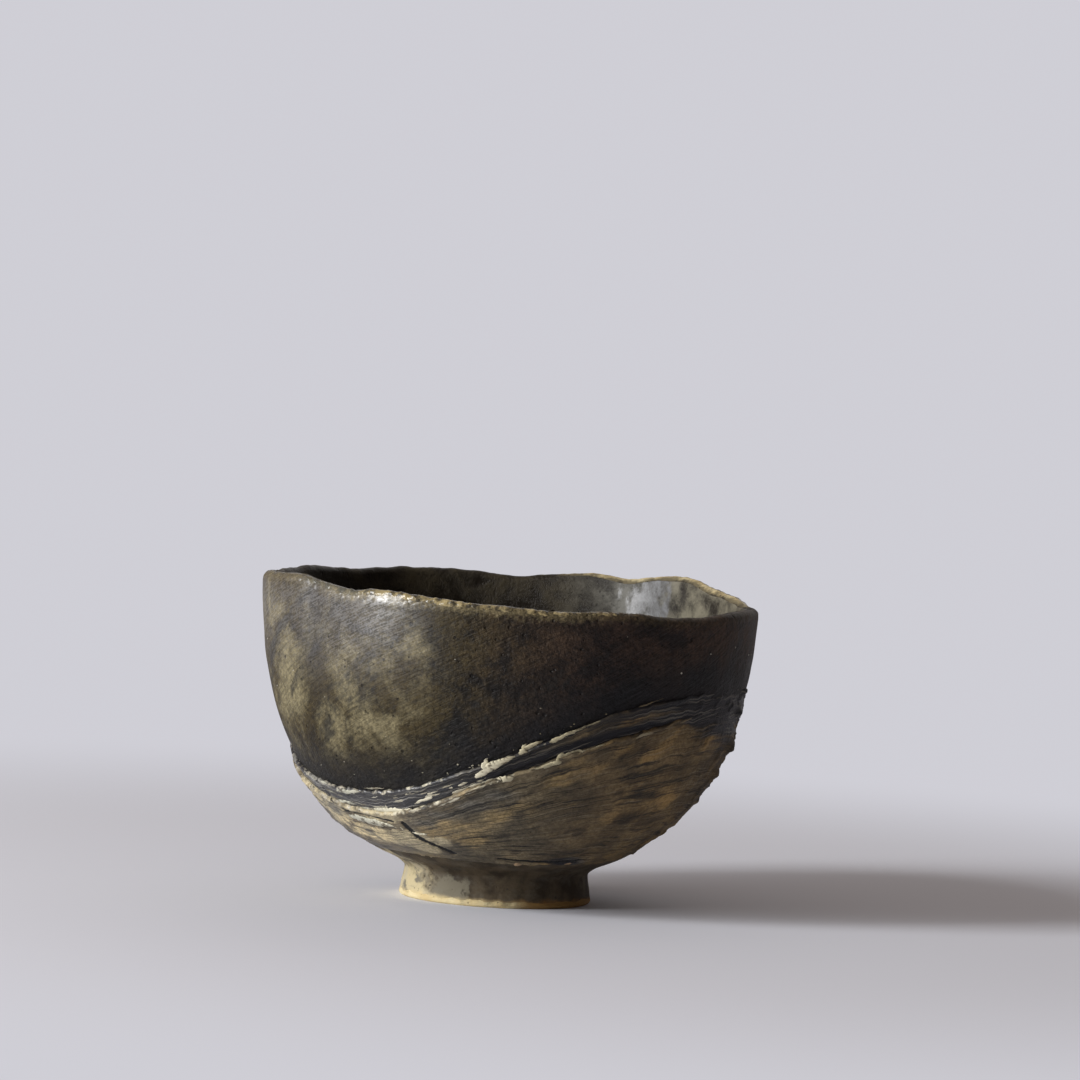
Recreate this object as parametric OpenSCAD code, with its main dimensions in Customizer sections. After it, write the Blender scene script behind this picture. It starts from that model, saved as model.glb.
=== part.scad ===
// Guinomi: a small hand-pinched sake cup on a luted foot ring.
// A clay bowl carries two brushed laps of slip, torn crests along their upper
// edges, and thin coats of glaze. Millimetres, +Z up, origin at the centre of
// the foot on the table. Angles run anticlockwise from +X, and -Y is the front.

/* [Bowl] */
// Mean height of the lip above the table
lip_height = 45; // [40:0.5:52]
// Outer radius of the wall at the lip
lip_radius = 35.6; // [32:0.1:40]
// Thickness of the wall at the lip
lip_wall = 2; // [1.4:0.1:3]
// How far the lip rises above its mean height at its highest point
lip_wobble = 1.7; // [0:0.1:2.5]
// How far the pinched wall strays from a true circle
pinch_depth = 0.8; // [0:0.1:1.2]
// Thickness of the clay between the well and the foot
floor_thickness = 3.2; // [2.6:0.1:6]
// Fullness of the belly: a higher power carries the width lower down
belly_power = 2.4; // [2:0.05:2.8]
// Spread of the flank above the foot: a lower power is flatter
flank_power = 0.65; // [0.55:0.01:0.75]
// Fullness of the well: a higher power makes it rounder at the bottom
well_power = 2.3; // [2:0.05:2.8]

/* [Foot] */
// Height of the foot ring
foot_height = 5.4; // [4:0.1:8]
// Outer radius of the foot near the table
foot_radius = 13.9; // [12:0.1:18]
// How much wider the foot is at the table than at its waist
foot_flare = 0.8; // [0:0.1:2]
// Width of the foot ring on the table
foot_wall = 4.1; // [3:0.1:6]
// How much the recess narrows from the table up to the bowl
recess_draft = 0.6; // [0:0.1:1.2]
// Softened edge of the foot on the table
foot_edge = 0.5; // [0.2:0.1:1]

/* [Luting] */
// How far the outer bead of luting slip climbs the bowl
bead_rise = 0.5; // [0.3:0.1:1]
// How far the beads come down the walls of the foot ring
bead_drop = 1.1; // [0.6:0.1:1.8]

/* [Slip] */
// How far above the joint of bowl and foot the slip starts
slip_rise = 2; // [1.4:0.1:3]
// Height of the slip's upper edge at its lowest point
slip_low = 14; // [10:0.5:18]
// Height of the slip's upper edge at its highest point
slip_high = 33; // [26:0.5:36]
// Thickness of the first brushed lap
under_lap_thickness = 0.45; // [0.4:0.05:1]
// Thickness of the second brushed lap
over_lap_thickness = 0.4; // [0.3:0.05:1]
// Share of its thickness that the slip keeps down at the foot
slip_foot_share = 0.3; // [0.2:0.05:1]
// Least distance from the first lap's edge down to the second's
lap_step_least = 0.5; // [0.3:0.1:2]
// Greatest distance from the first lap's edge down to the second's
lap_step_most = 3.6; // [2.5:0.1:5]
// Height of the tallest torn crest above its lap
crest_height = 1.1; // [0.6:0.1:2]

/* [Glaze] */
// Thickness of the glaze
glaze_thickness = 0.25; // [0.15:0.05:0.35]
// Bare clay left between the glaze and the rounded lip
bare_lip = 0.5; // [0.2:0.1:2]
// Bare clay left at the bottom of the foot
bare_foot = 1.4; // [1.1:0.1:2]

/* [Hidden] */

// Columns round every loft
columns = 72;
// Faces round every turned piece
turned_faces = 96;

// Rise and fall of the lip round the cup, as shares of lip_wobble
lip_shares = [-0.5, -0.55, -0.1, 0.25, 0.95, 0.85, 0.3, 0.55, 0.2, -0.15, 0.15, 0.2,
              0.2, 0, 0.15, 0.35, 0.25, 0.2, 0.35, 0.55, 0.7, 0.85, 0.4, 0.1,
              0.35, 0.1, -0.15, -0.25, -0.45, -0.35, -0.4, -0.7, -0.7, -0.55, -0.4, -0.45];
// Thumb pinches round the wall, as shares of pinch_depth, outward positive
pinch_shares = [0, -0.1, -0.3, 0.1, 0.4, 0.2, -0.2, 0.1, 0.4, 0.2, -0.1, -0.2,
                0.1, 0.5, -0.4, -0.8, 0.4, 0.5, 0.1, -0.2, 0, 0.2, 0.1, -0.1];
// The slip's upper edge round the cup, from slip_low at 0 to slip_high at 1
slip_edge_shares = [0.97, 0.9, 0.84, 0.79, 0.68, 0.57, 0.3, 0.14, 0.17, 0.47, 0.87, 1];
// The step between the laps round the cup, from its least at 0 to its most at 1
lap_step_shares = [0.9, 0.8, 0.7, 0.55, 0.4, 0.3, 0.25, 0.48, 0.69, 0.61, 1, 0.62];
// First and last angle of each torn crest on a lap's edge, and its share of crest_height
under_crest_degrees = [[205, 225], [235, 260], [260, 275], [275, 285], [285, 295], [340, 360], [95, 125]];
under_crest_shares = [0.6, 0.6, 1, 0.8, 0.5, 0.5, 0.6];
over_crest_degrees = [[225, 255], [260, 275], [280, 295], [300, 320], [20, 45], [140, 170]];
over_crest_shares = [0.6, 0.6, 0.8, 0.5, 0.5, 0.6];

// Rows of the loft in each band of the wall
bead_rows = 3;
underside_rows = 3;
over_lap_rows = 4;
step_rows = 2;
glaze_rows = 5;
well_rows = 9;
// Steps in a curved profile
profile_steps = 8;
// Small step along the wall for measuring its slope
slope_step = 0.05;

wall_top = lip_height + lip_wobble;
lip_round = lip_wall / 2;
floor_z = foot_height + floor_thickness;
bead_top_z = foot_height + bead_rise;
slip_foot_z = foot_height + slip_rise;
waist_z = foot_height - bead_drop;
slip_thickness = under_lap_thickness + over_lap_thickness;
waist_radius = foot_radius - foot_flare;
recess_radius = foot_radius - foot_wall;
recess_top_radius = recess_radius - recess_draft;

// Smooth value at angle a of a list spaced evenly once round the cup
function around(list, a) =
    let (n = len(list), s = a / 360 * n, i = floor(s), t = s - i,
         p0 = list[(i + n - 1) % n], p1 = list[i % n], p2 = list[(i + 1) % n], p3 = list[(i + 2) % n])
    p1 + t * (p2 - p0 + t * (2 * p0 - 5 * p1 + 4 * p2 - p3 + t * (3 * (p1 - p2) + p3 - p0))) / 2;

function mix(low, high, share) = low + (high - low) * share;
function polar(a, r, z) = [r * cos(a), r * sin(a), z];
function column_angle(i) = i * 360 / columns;

// Heights of the lip and of the slip's two edges at angle a
function lip_z(a) = lip_height + lip_wobble * around(lip_shares, a);
function edge_z(a) = mix(slip_low, slip_high, around(slip_edge_shares, a));
function lap_z(a) = edge_z(a) - mix(lap_step_least, lap_step_most, around(lap_step_shares, a));
function shoulder_z(a) = lip_z(a) - lip_round;

// Share of the way up from a low point to the top of the wall, held to 0 and 1
function climb(z, low) = max(0, min(1, (z - low) / (wall_top - low)));
// Pinches fade from the lip down to the foot
function pinch(a, z) = pinch_depth * around(pinch_shares, a) * pow(climb(z, foot_height), 2);

// Radius of the wall outside and of the well inside
function outer_r(a, z) =
    let (spread = pow(1 - pow(1 - climb(z, foot_height), belly_power), flank_power))
    mix(waist_radius, lip_radius, spread) + pinch(a, z);
function inner_r(a, z) =
    let (rise = climb(z, floor_z))
    (lip_radius - lip_wall) * sqrt(1 - pow(1 - rise, well_power)) + pinch(a, z) * rise;

// A point at height z on a wall of radius r, lifted off it by a coat of thickness t
function lifted(a, r, slope, z, t) =
    let (length = sqrt(1 + slope * slope)) polar(a, r + t / length, z - t * slope / length);
function on_wall(a, z, t) =
    lifted(a, outer_r(a, z), (outer_r(a, z + slope_step) - outer_r(a, z)) / slope_step, z, t);
function in_well(a, z, t) =
    lifted(a, inner_r(a, z), (inner_r(a, z + slope_step) - inner_r(a, z)) / slope_step, z, -t);

// Rings of points round the cup. A row holds a function of the angle that gives each point's height,
// and the share of its full thickness that a coat has there.
function wall_ring(row, t) = [for (i = [0:columns - 1])
    let (a = column_angle(i), rise = row[0]) on_wall(a, rise(a), t * row[1])];
function well_ring(row, t) = [for (i = [0:columns - 1])
    let (a = column_angle(i), rise = row[0]) in_well(a, rise(a), t * row[1])];
// Rings over the rounded lip: tilt is 90 outside, 0 on top and -90 inside
function lip_ring(tilt) = [for (i = [0:columns - 1])
    let (a = column_angle(i), z = shoulder_z(a), middle = (outer_r(a, z) + inner_r(a, z)) / 2,
         half = (outer_r(a, z) - inner_r(a, z)) / 2)
    polar(a, middle + half * sin(tilt), z + lip_round * cos(tilt))];

// The rows in each band, from the bottom of the band to its top
bead_band = [for (k = [0:bead_rows - 1])
    [function (a) mix(foot_height, bead_top_z, pow(k / bead_rows, 2)), 0]];
underside_band = [for (k = [0:underside_rows - 1])
    [function (a) mix(bead_top_z, slip_foot_z, k / underside_rows), 0]];
over_band = [for (k = [0:over_lap_rows])
    [function (a) mix(slip_foot_z, lap_z(a), k / over_lap_rows), mix(slip_foot_share, 1, k / over_lap_rows)]];
step_band = [for (k = [1:step_rows]) [function (a) mix(lap_z(a), edge_z(a), k / step_rows), 1]];
under_band = concat(over_band, step_band);
glaze_band = [for (k = [0:glaze_rows])
    [function (a) mix(edge_z(a), shoulder_z(a) - bare_lip, k / glaze_rows), 1]];
// The well's rows crowd together at the bottom, where it is nearly flat
well_band = [for (k = [1:well_rows])
    [function (a) mix(floor_z, shoulder_z(a) - bare_lip, pow(k / well_rows, 2)), 1]];

function backwards(list) = [for (k = [len(list) - 1:-1:0]) list[k]];

// A closed solid through rings of points that go up the outside and, from ring turn on, down the inside.
// Every face is split from its lower left to its upper right, so coats match the wall that they lie on.
// With no ends, the last ring joins the first; otherwise ends holds the two points that close it.
module loft(rings, turn, ends = []) {
    n = columns;
    count = len(rings);
    last = len(ends) == 0 ? count - 1 : count - 2;
    sides = [for (k = [0:last], i = [0:n - 1])
        let (next = (k + 1) % count, j = (i + 1) % n,
             p = k * n + i, q = k * n + j, up_p = next * n + i, up_q = next * n + j)
        each k < turn ? [[p, up_p, up_q], [p, up_q, q]] : [[p, up_p, q], [up_p, up_q, q]]];
    first_fan = [for (i = [0:n - 1]) [count * n, i, (i + 1) % n]];
    last_fan = [for (i = [0:n - 1]) [count * n + 1, (count - 1) * n + (i + 1) % n, (count - 1) * n + i]];
    points = [for (ring = rings) each ring];
    faces = len(ends) == 0 ? sides : concat(sides, first_fan, last_fan);
    polyhedron(concat(points, ends), faces, convexity = 6);
}

// A coat of slip or glaze on the wall, between two distances from the clay
module wall_coat(band, near, far, split = []) {
    top = band[len(band) - 1];
    rings = concat([for (row = band) wall_ring(row, far)],
                   [for (t = split) wall_ring(top, t)],
                   [for (row = backwards(band)) wall_ring(row, near)]);
    loft(rings, turn = len(band) + len(split));
}

// A torn crest on the upper edge of a lap, between two angles and two distances from the clay
module crest(ends, tall, rise, near, far) {
    steps = round((ends[1] - ends[0]) / column_angle(1));
    angles = [for (k = [0:steps]) ends[0] + k * column_angle(1)];
    lean = 0.4;
    inner = [for (a = angles) on_wall(a, rise(a), near)];
    outer = [for (a = angles) on_wall(a, rise(a), far)];
    tops = [for (k = [1:steps - 1])
        let (a = angles[k], h = tall * sin(180 * k / steps))
        on_wall(a, rise(a) + h, (near + far) / 2 + lean * h)];
    o = steps + 1;
    t = 2 * o - 1;
    base = [for (k = [0:steps - 1]) each [[k, o + k, o + k + 1], [k, o + k + 1, k + 1]]];
    flanks = [for (k = [1:steps - 2]) each [
        [o + k, t + k, t + k + 1], [o + k, t + k + 1, o + k + 1],
        [k, k + 1, t + k + 1], [k, t + k + 1, t + k]]];
    tips = [[o, t + 1, o + 1], [0, 1, t + 1], [o, 0, t + 1],
            [o + steps - 1, t + steps - 1, o + steps], [steps - 1, steps, t + steps - 1],
            [o + steps, t + steps - 1, steps]];
    polyhedron(concat(inner, outer, tops), concat(base, flanks, tips));
}

// The pinched clay bowl, from the middle of its underside over the lip to the middle of the well
module bowl_wall() {
    outside = concat(bead_band, underside_band, under_band, [for (k = [1:glaze_rows]) glaze_band[k]]);
    rings = concat([for (row = outside) wall_ring(row, 0)],
                   [for (tilt = [90:-45:-90]) lip_ring(tilt)],
                   [for (row = backwards(well_band)) well_ring(row, 0)]);
    color("burlywood")
        loft(rings, turn = len(outside) + 2, ends = [[0, 0, foot_height], [0, 0, floor_z]]);
}

// Outer radius of the foot at height z: it flares from the waist down to the table
function foot_r(z) =
    let (rise = min(1, max(0, z - foot_edge) / (waist_z - foot_edge)))
    mix(foot_radius, waist_radius, sin(90 * rise));
function foot_side(low, high, t) =
    [for (k = [0:profile_steps]) let (z = mix(low, high, k / profile_steps)) [foot_r(z) + t, z]];
function rounded_edge(x, z, r, from) =
    [for (k = [0:profile_steps / 2])
        let (a = from + 180 * k / profile_steps) [x + r * cos(a), z + r * sin(a)]];

module turned(outline) {
    rotate_extrude($fn = turned_faces) polygon(outline);
}

// The ring of clay that the cup stands on
module foot_ring() {
    color("tan")
        turned(concat(rounded_edge(recess_radius + foot_edge, foot_edge, foot_edge, 180),
                      rounded_edge(foot_radius - foot_edge, foot_edge, foot_edge, 270),
                      foot_side(foot_edge, waist_z, 0),
                      [[waist_radius, foot_height], [recess_top_radius, foot_height]]));
}

// A hollow curve from one point to another, pulled towards a corner
function hollow_curve(start, corner, end) =
    [for (k = [0:profile_steps]) let (s = k / profile_steps)
        mix(mix(start, corner, s), mix(corner, end, s), s)];
// Radius of the recess at height z
function recess_r(z) = mix(recess_radius, recess_top_radius, (z - foot_edge) / (foot_height - foot_edge));

// Slip that was pressed into the joint between the foot ring and the bowl, outside and inside
module luting_beads() {
    flank = [for (k = [0:bead_rows])
        let (z = mix(foot_height, bead_top_z, pow(k / bead_rows, 2))) [outer_r(0, z), z]];
    corner = [waist_radius, foot_height];
    tip = [waist_radius, waist_z];
    pull = mix(mix(tip, flank[bead_rows], 0.3), corner, 0.5);
    inner_corner = [recess_top_radius, foot_height];
    color("darkkhaki") {
        turned(concat(flank, hollow_curve(flank[bead_rows], pull, tip)));
        turned(concat([inner_corner],
                      hollow_curve([recess_top_radius - bead_drop, foot_height], inner_corner,
                                   [recess_r(waist_z), waist_z])));
    }
}

// The first brushed lap of slip, up to the torn edge
module slip_under_lap() {
    color("rosybrown")
        wall_coat(under_band, near = 0, far = under_lap_thickness, split = [glaze_thickness]);
}

// The second brushed lap, which stops short of the first
module slip_over_lap() {
    color("peru")
        wall_coat(over_band, near = under_lap_thickness, far = slip_thickness);
}

// Crests that the brush tore up along the edges of both laps
module slip_crests() {
    color("cornsilk") {
        for (k = [0:len(under_crest_degrees) - 1])
            crest(under_crest_degrees[k], under_crest_shares[k] * crest_height,
                  function (a) edge_z(a), glaze_thickness, under_lap_thickness);
        for (k = [0:len(over_crest_degrees) - 1])
            crest(over_crest_degrees[k], over_crest_shares[k] * crest_height,
                  function (a) lap_z(a), under_lap_thickness, slip_thickness);
    }
}

// Dark glaze on the outside, from the slip's edge to just under the lip
module wall_glaze() {
    color("darkslategray")
        wall_coat(glaze_band, near = 0, far = glaze_thickness);
}

// Dark glaze inside the well
module well_glaze() {
    rings = concat([for (row = well_band) well_ring(row, 0)],
                   [for (row = backwards(well_band)) well_ring(row, glaze_thickness)]);
    color("dimgray")
        loft(rings, turn = well_rows, ends = [[0, 0, floor_z], [0, 0, floor_z + glaze_thickness]]);
}

// Thin glaze on the foot, above the bare clay at the table
module foot_glaze() {
    color("darkolivegreen")
        turned(concat(foot_side(bare_foot, waist_z, glaze_thickness),
                      backwards(foot_side(bare_foot, waist_z, 0))));
}

bowl_wall();
foot_ring();
luting_beads();
slip_under_lap();
slip_over_lap();
slip_crests();
wall_glaze();
well_glaze();
foot_glaze();
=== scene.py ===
# %% [markdown]
# # A pinched sake cup in dark glaze and torn slip
# The cup is one small fired bowl on a foot ring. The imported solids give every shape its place, so this
# lesson reads the clay from them and lays finer skins over it: bare clay at lip and foot, thin dark glaze
# above and inside, and two brushed laps of pale slip, washed with brown, round the lower wall.

# %% Load the frame
import math
from functools import partialmethod

import bmesh
import bpy
import numpy as np
from mathutils import Matrix, Vector, noise
from mathutils.bvhtree import BVHTree


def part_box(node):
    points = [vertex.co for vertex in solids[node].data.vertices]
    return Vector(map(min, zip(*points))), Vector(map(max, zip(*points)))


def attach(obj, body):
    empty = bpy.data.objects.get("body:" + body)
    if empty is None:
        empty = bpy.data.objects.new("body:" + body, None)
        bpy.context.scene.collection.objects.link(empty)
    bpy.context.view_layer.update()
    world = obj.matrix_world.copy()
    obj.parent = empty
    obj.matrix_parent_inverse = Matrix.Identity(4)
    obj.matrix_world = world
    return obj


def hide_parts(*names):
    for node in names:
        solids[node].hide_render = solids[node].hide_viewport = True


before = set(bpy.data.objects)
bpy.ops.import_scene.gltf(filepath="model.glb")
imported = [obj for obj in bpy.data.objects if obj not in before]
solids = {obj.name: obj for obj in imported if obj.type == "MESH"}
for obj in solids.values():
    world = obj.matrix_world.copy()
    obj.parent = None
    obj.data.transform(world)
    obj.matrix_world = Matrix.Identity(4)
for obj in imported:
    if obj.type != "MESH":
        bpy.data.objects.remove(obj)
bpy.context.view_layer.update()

MM = 0.001
print("solids in the frame:", sorted(solids))

# %% [markdown]
# ## The camera
# The picture is taken with a long lens from about a metre away, a little above the lip and not quite level.
# A long lens keeps the foot and lip nearly undistorted, so the camera is set from its distance and three
# angles.

# %% Set up the camera
camera_place = Vector((0, -950, 104.9)) * MM
camera_lens, camera_sensor = 219.8, 36
camera_yaw, camera_pitch, camera_roll = math.radians(0.22), math.radians(-3.18), math.radians(3.3)

camera = bpy.data.objects.new("camera", bpy.data.cameras.new("camera"))
camera.data.lens, camera.data.sensor_width = camera_lens, camera_sensor
camera_turn = (
    Matrix.Rotation(-camera_yaw, 4, "Z")
    @ Matrix.Rotation(math.pi / 2 + camera_pitch, 4, "X")
    @ Matrix.Rotation(camera_roll, 4, "Z")
)
camera.matrix_world = Matrix.Translation(camera_place) @ camera_turn
bpy.context.scene.collection.objects.link(camera)
bpy.context.scene.camera = camera
bpy.context.scene.view_settings.view_transform = "Standard"
print("camera", round(camera_place.length / MM), "mm away, lens", camera_lens, "mm")

# %% [markdown]
# ## Writing rules as nodes
# Materials, floor and shapes are all node trees. A tree made link by link is hard to read, so a `Wire`
# stands for a value on its way through a tree, and sums on wires place the Math nodes.


# %% Helpers for node trees
class Wire:
    """A value on its way through a node tree, so that a rule can be written as a sum."""

    def __init__(self, tree, socket):
        self.tree, self.socket = tree, socket

    def rule(self, operation, *others):
        return place(self.tree, "ShaderNodeMath", (self, *others), operation=operation)

    __add__ = partialmethod(rule, "ADD")
    __sub__ = partialmethod(rule, "SUBTRACT")
    __mul__ = partialmethod(rule, "MULTIPLY")
    __truediv__ = partialmethod(rule, "DIVIDE")
    __pow__ = partialmethod(rule, "POWER")

    def flipped(self):
        return (self * -1) + 1


def place(tree, kind, inputs=(), output=0, **settings):
    """Adds a node, sets it up, plugs in wires or plain values, and hands on one of its outputs."""
    node = tree.nodes.new(kind)
    for name, value in settings.items():
        setattr(node, name, value)
    for port, value in inputs.items() if isinstance(inputs, dict) else enumerate(inputs):
        if isinstance(value, Wire):
            tree.links.new(value.socket, node.inputs[port])
        else:
            node.inputs[port].default_value = value
    return Wire(tree, node.outputs[output]) if len(node.outputs) else node


def outlets(wire):
    """A wire from each output of the node that this wire comes from."""
    return [Wire(wire.tree, socket) for socket in wire.socket.node.outputs]


def cleared(owner):
    """The node tree of a new material or world, with nothing in it yet."""
    owner.use_nodes = True
    owner.node_tree.nodes.clear()
    return owner.node_tree


print("node helpers ready")


# %% Helpers for numbers and colours on wires
def fade(value, start, end):
    """0 up to start, 1 from end on, and a smooth slope between them."""
    return place(value.tree, "ShaderNodeMapRange", (value, start, end), interpolation_type="SMOOTHSTEP")


def cloud(where, scale, detail=2.0, rough=0.5, warp=0.0):
    """Soft noise from 0 to 1, with scale features to the unit."""
    return place(where.tree, "ShaderNodeTexNoise", {0: where, 2: scale, 3: detail, 4: rough, 8: warp})


def jitter(where, amount, *grain):
    """The same noise about zero, and times an amount."""
    return (cloud(where, *grain) - 0.5) * amount


def point(x, y, z):
    tree = next(part.tree for part in (x, y, z) if isinstance(part, Wire))
    return place(tree, "ShaderNodeCombineXYZ", (x, y, z))


def parts(vector):
    """The three numbers in a vector."""
    return outlets(place(vector.tree, "ShaderNodeSeparateXYZ", (vector,)))


def from_axis(x, y):
    """How far a point is from the cup's upright axis."""
    return (x * x + y * y) ** 0.5


def sized(vector, amount):
    return place(vector.tree, "ShaderNodeVectorMath", {0: vector, 3: amount}, operation="SCALE")


def vectors(operation, first, second, output=0):
    return place(first.tree, "ShaderNodeVectorMath", (first, second), output, operation=operation)


def rgb(red, green, blue):
    return (red, green, blue, 1.0)


def tint(amount, below, above):
    """Colour below where amount is 0, and above where it is 1."""
    return place(amount.tree, "ShaderNodeMix", {0: amount, 6: below, 7: above}, 2, data_type="RGBA")


def painted(colour, *layers):
    """The colour with others laid over it in turn, each where its amount is 1."""
    for amount, layer in layers:
        colour = tint(amount, colour, layer)
    return colour


def dimmed(colour, amount, level):
    """The colour, multiplied by level, a number or a colour, where amount is 1."""
    filter_colour = level if isinstance(level, tuple) else rgb(level, level, level)
    settings = {"data_type": "RGBA", "blend_type": "MULTIPLY"}
    return place(colour.tree, "ShaderNodeMix", {0: amount, 6: colour, 7: filter_colour}, 2, **settings)


print("number and colour helpers ready")

# %% [markdown]
# ## The stage
# The cup stands on a pale, faintly violet sheet, by one soft window low on the left. The floor is a wide
# plate that turns into the plain background further off, for the camera only, so that no edge shows from
# any side.

# %% Lay the floor
floor_radius = 4.0
paper_reach, plain_from = 0.085, 0.24
paper = rgb(0.815, 0.832, 0.91)
background = rgb(0.625, 0.62, 0.67)

floor_paper = bpy.data.materials.new("floor_paper")
tree = cleared(floor_paper)
x, y, _ = parts(place(tree, "ShaderNodeTexCoord", output=3))
far = fade(from_axis(x, y), paper_reach, plain_from) * place(tree, "ShaderNodeLightPath")
matte = place(tree, "ShaderNodeBsdfDiffuse", {"Color": paper})
plain = place(tree, "ShaderNodeEmission", {"Color": background})
sheet = place(tree, "ShaderNodeMixShader", (far, matte, plain))
place(tree, "ShaderNodeOutputMaterial", (sheet,))

plate = bmesh.new()
bmesh.ops.create_circle(plate, cap_ends=True, segments=64, radius=floor_radius)
floor_mesh = bpy.data.meshes.new("floor")
plate.to_mesh(floor_mesh)
plate.free()
floor_mesh.materials.append(floor_paper)
floor = bpy.data.objects.new("floor", floor_mesh)
bpy.context.scene.collection.objects.link(floor)
print("floor", floor_radius, "m round")

# %% [markdown]
# ## The light
# A tall window lights the cup from the left, from near the table upwards, so that it draws a satin sheen
# down the glaze. A wide dim lamp behind keeps the far side readable, and the room is darkest on the right
# in front.

# %% Light the stage
lamp_distance = 1.0
room_dim = rgb(0.045, 0.038, 0.033)
room_light = rgb(0.27, 0.23, 0.205)


def lamp(name, azimuth, height, width, tall, level):
    """A soft lamp a metre from the cup. At level 1, a surface that faces it shows its own colour."""
    azimuth, height = math.radians(azimuth), math.radians(height)
    flat = math.cos(height)
    towards = Vector((flat * math.cos(azimuth), flat * math.sin(azimuth), math.sin(height)))
    light = bpy.data.objects.new(name, bpy.data.lights.new(name, "AREA"))
    light.data.shape, light.data.size, light.data.size_y = "RECTANGLE", width, tall
    light.data.energy = level * math.pi**2 * lamp_distance**2
    stand = Matrix.Translation(towards * lamp_distance)
    light.matrix_world = stand @ towards.to_track_quat("Z", "Y").to_matrix().to_4x4()
    bpy.context.scene.collection.objects.link(light)
    print(name, "at", [round(v, 2) for v in towards], "power", round(light.data.energy, 1), "W")


lamp("window", azimuth=208, height=20.5, width=0.24, tall=0.66, level=1.15)
lamp("fill", azimuth=75, height=30, width=0.9, tall=0.9, level=0.12)

# The room is lightest up, behind and to the left
world = bpy.data.worlds.new("room")
bpy.context.scene.world = world
tree = cleared(world)
x, y, z = parts(place(tree, "ShaderNodeTexCoord"))
open_side = fade(x * -0.55 + y * 0.45 + z * 0.7, -0.6, 0.8)
seen = place(tree, "ShaderNodeLightPath")
air = tint(seen, tint(open_side, room_dim, room_light), background)
place(tree, "ShaderNodeOutputWorld", (place(tree, "ShaderNodeBackground", {"Color": air}),))

# %% [markdown]
# ## Reading the clay
# The solids are made of flat facets, five degrees wide, which a satin glaze would show. At the facets'
# corners they are exact, so the wall is measured there, by rays, and carried between the corners by a sum
# of waves round the cup. Every skin below is then laid on that smooth wall.

# %% Measure the wall
cad_columns, wall_rows = 72, 160
lowest_share, smoothing = 0.002, 5
lip_round = 1.0 * MM
# Where rays start: well outside the cup, and in its middle
beyond, mid_height = 60 * MM, 30 * MM


def spaced(start, end, count):
    """Even steps, one for each ring of a skin."""
    return np.linspace(start, end, count)[:, None]


def corners(node):
    mesh = solids[node].data
    values = np.empty(len(mesh.vertices) * 3)
    mesh.vertices.foreach_get("co", values)
    return values.reshape(-1, 3)


def column_tops(node):
    """The highest corner of a solid in each of its columns."""
    found = corners(node)
    column = np.round(np.arctan2(found[:, 1], found[:, 0]) / (2 * math.pi) * cad_columns).astype(int)
    tops = np.full(cad_columns, -1.0)
    np.maximum.at(tops, column % cad_columns, found[:, 2])
    return tops


def surface(node):
    mesh = solids[node].data
    return BVHTree.FromPolygons([v.co for v in mesh.vertices], [p.vertices for p in mesh.polygons])


def softened(rows, reach):
    """Rows evened out along the wall, so that the bends between facets go."""
    offsets = np.arange(-3 * reach, 3 * reach + 1)
    weights = np.exp(-0.5 * (offsets / reach) ** 2)
    padded = np.pad(rows, ((3 * reach, 3 * reach), (0, 0)), mode="reflect", reflect_type="odd")
    return sum(w * padded[k : k + len(rows)] for k, w in enumerate(weights / weights.sum()))


bowl = surface("bowl_wall")
bowl_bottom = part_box("bowl_wall")[0].z
well_bottom = bowl.ray_cast(Vector((0, 0, mid_height)), Vector((0, 0, -1)))[0].z
cad_lip = column_tops("bowl_wall")
cad_outside, cad_inside = np.empty((2, wall_rows, cad_columns))
for column in range(cad_columns):
    turn = column * math.tau / cad_columns
    heading = Vector((math.cos(turn), math.sin(turn), 0))
    for row, share in enumerate(np.linspace(lowest_share, 1, wall_rows)):
        for found, bottom, start, way in (
            (cad_outside, bowl_bottom, heading * beyond, -heading),
            (cad_inside, well_bottom, Vector(), heading),
        ):
            level = bottom + share * (cad_lip[column] - lip_round - bottom)
            found[row, column] = bowl.ray_cast(start + Vector((0, 0, level)), way)[0].to_2d().length
cad_outside, cad_inside = softened(cad_outside, smoothing), softened(cad_inside, smoothing)
cad_slip_edge, cad_lap_edge = column_tops("slip_under_lap"), column_tops("slip_over_lap")
for label, line in (("lip", cad_lip), ("slip's edge", cad_slip_edge), ("lap's edge", cad_lap_edge)):
    print(label, "from", round(line.min() / MM, 1), "to", round(line.max() / MM, 1), "mm")

# %% Carry the wall between the columns
crease_turn, crease_reach, crease_depth = 217.5, 4.5, 0.35 * MM
lip_nick = 0.22 * MM


def finer(values, columns):
    """The same curve round the cup, in more columns."""
    waves = np.fft.rfft(values, axis=-1)
    return np.fft.irfft(waves, n=columns, axis=-1) * columns / values.shape[-1]


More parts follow.
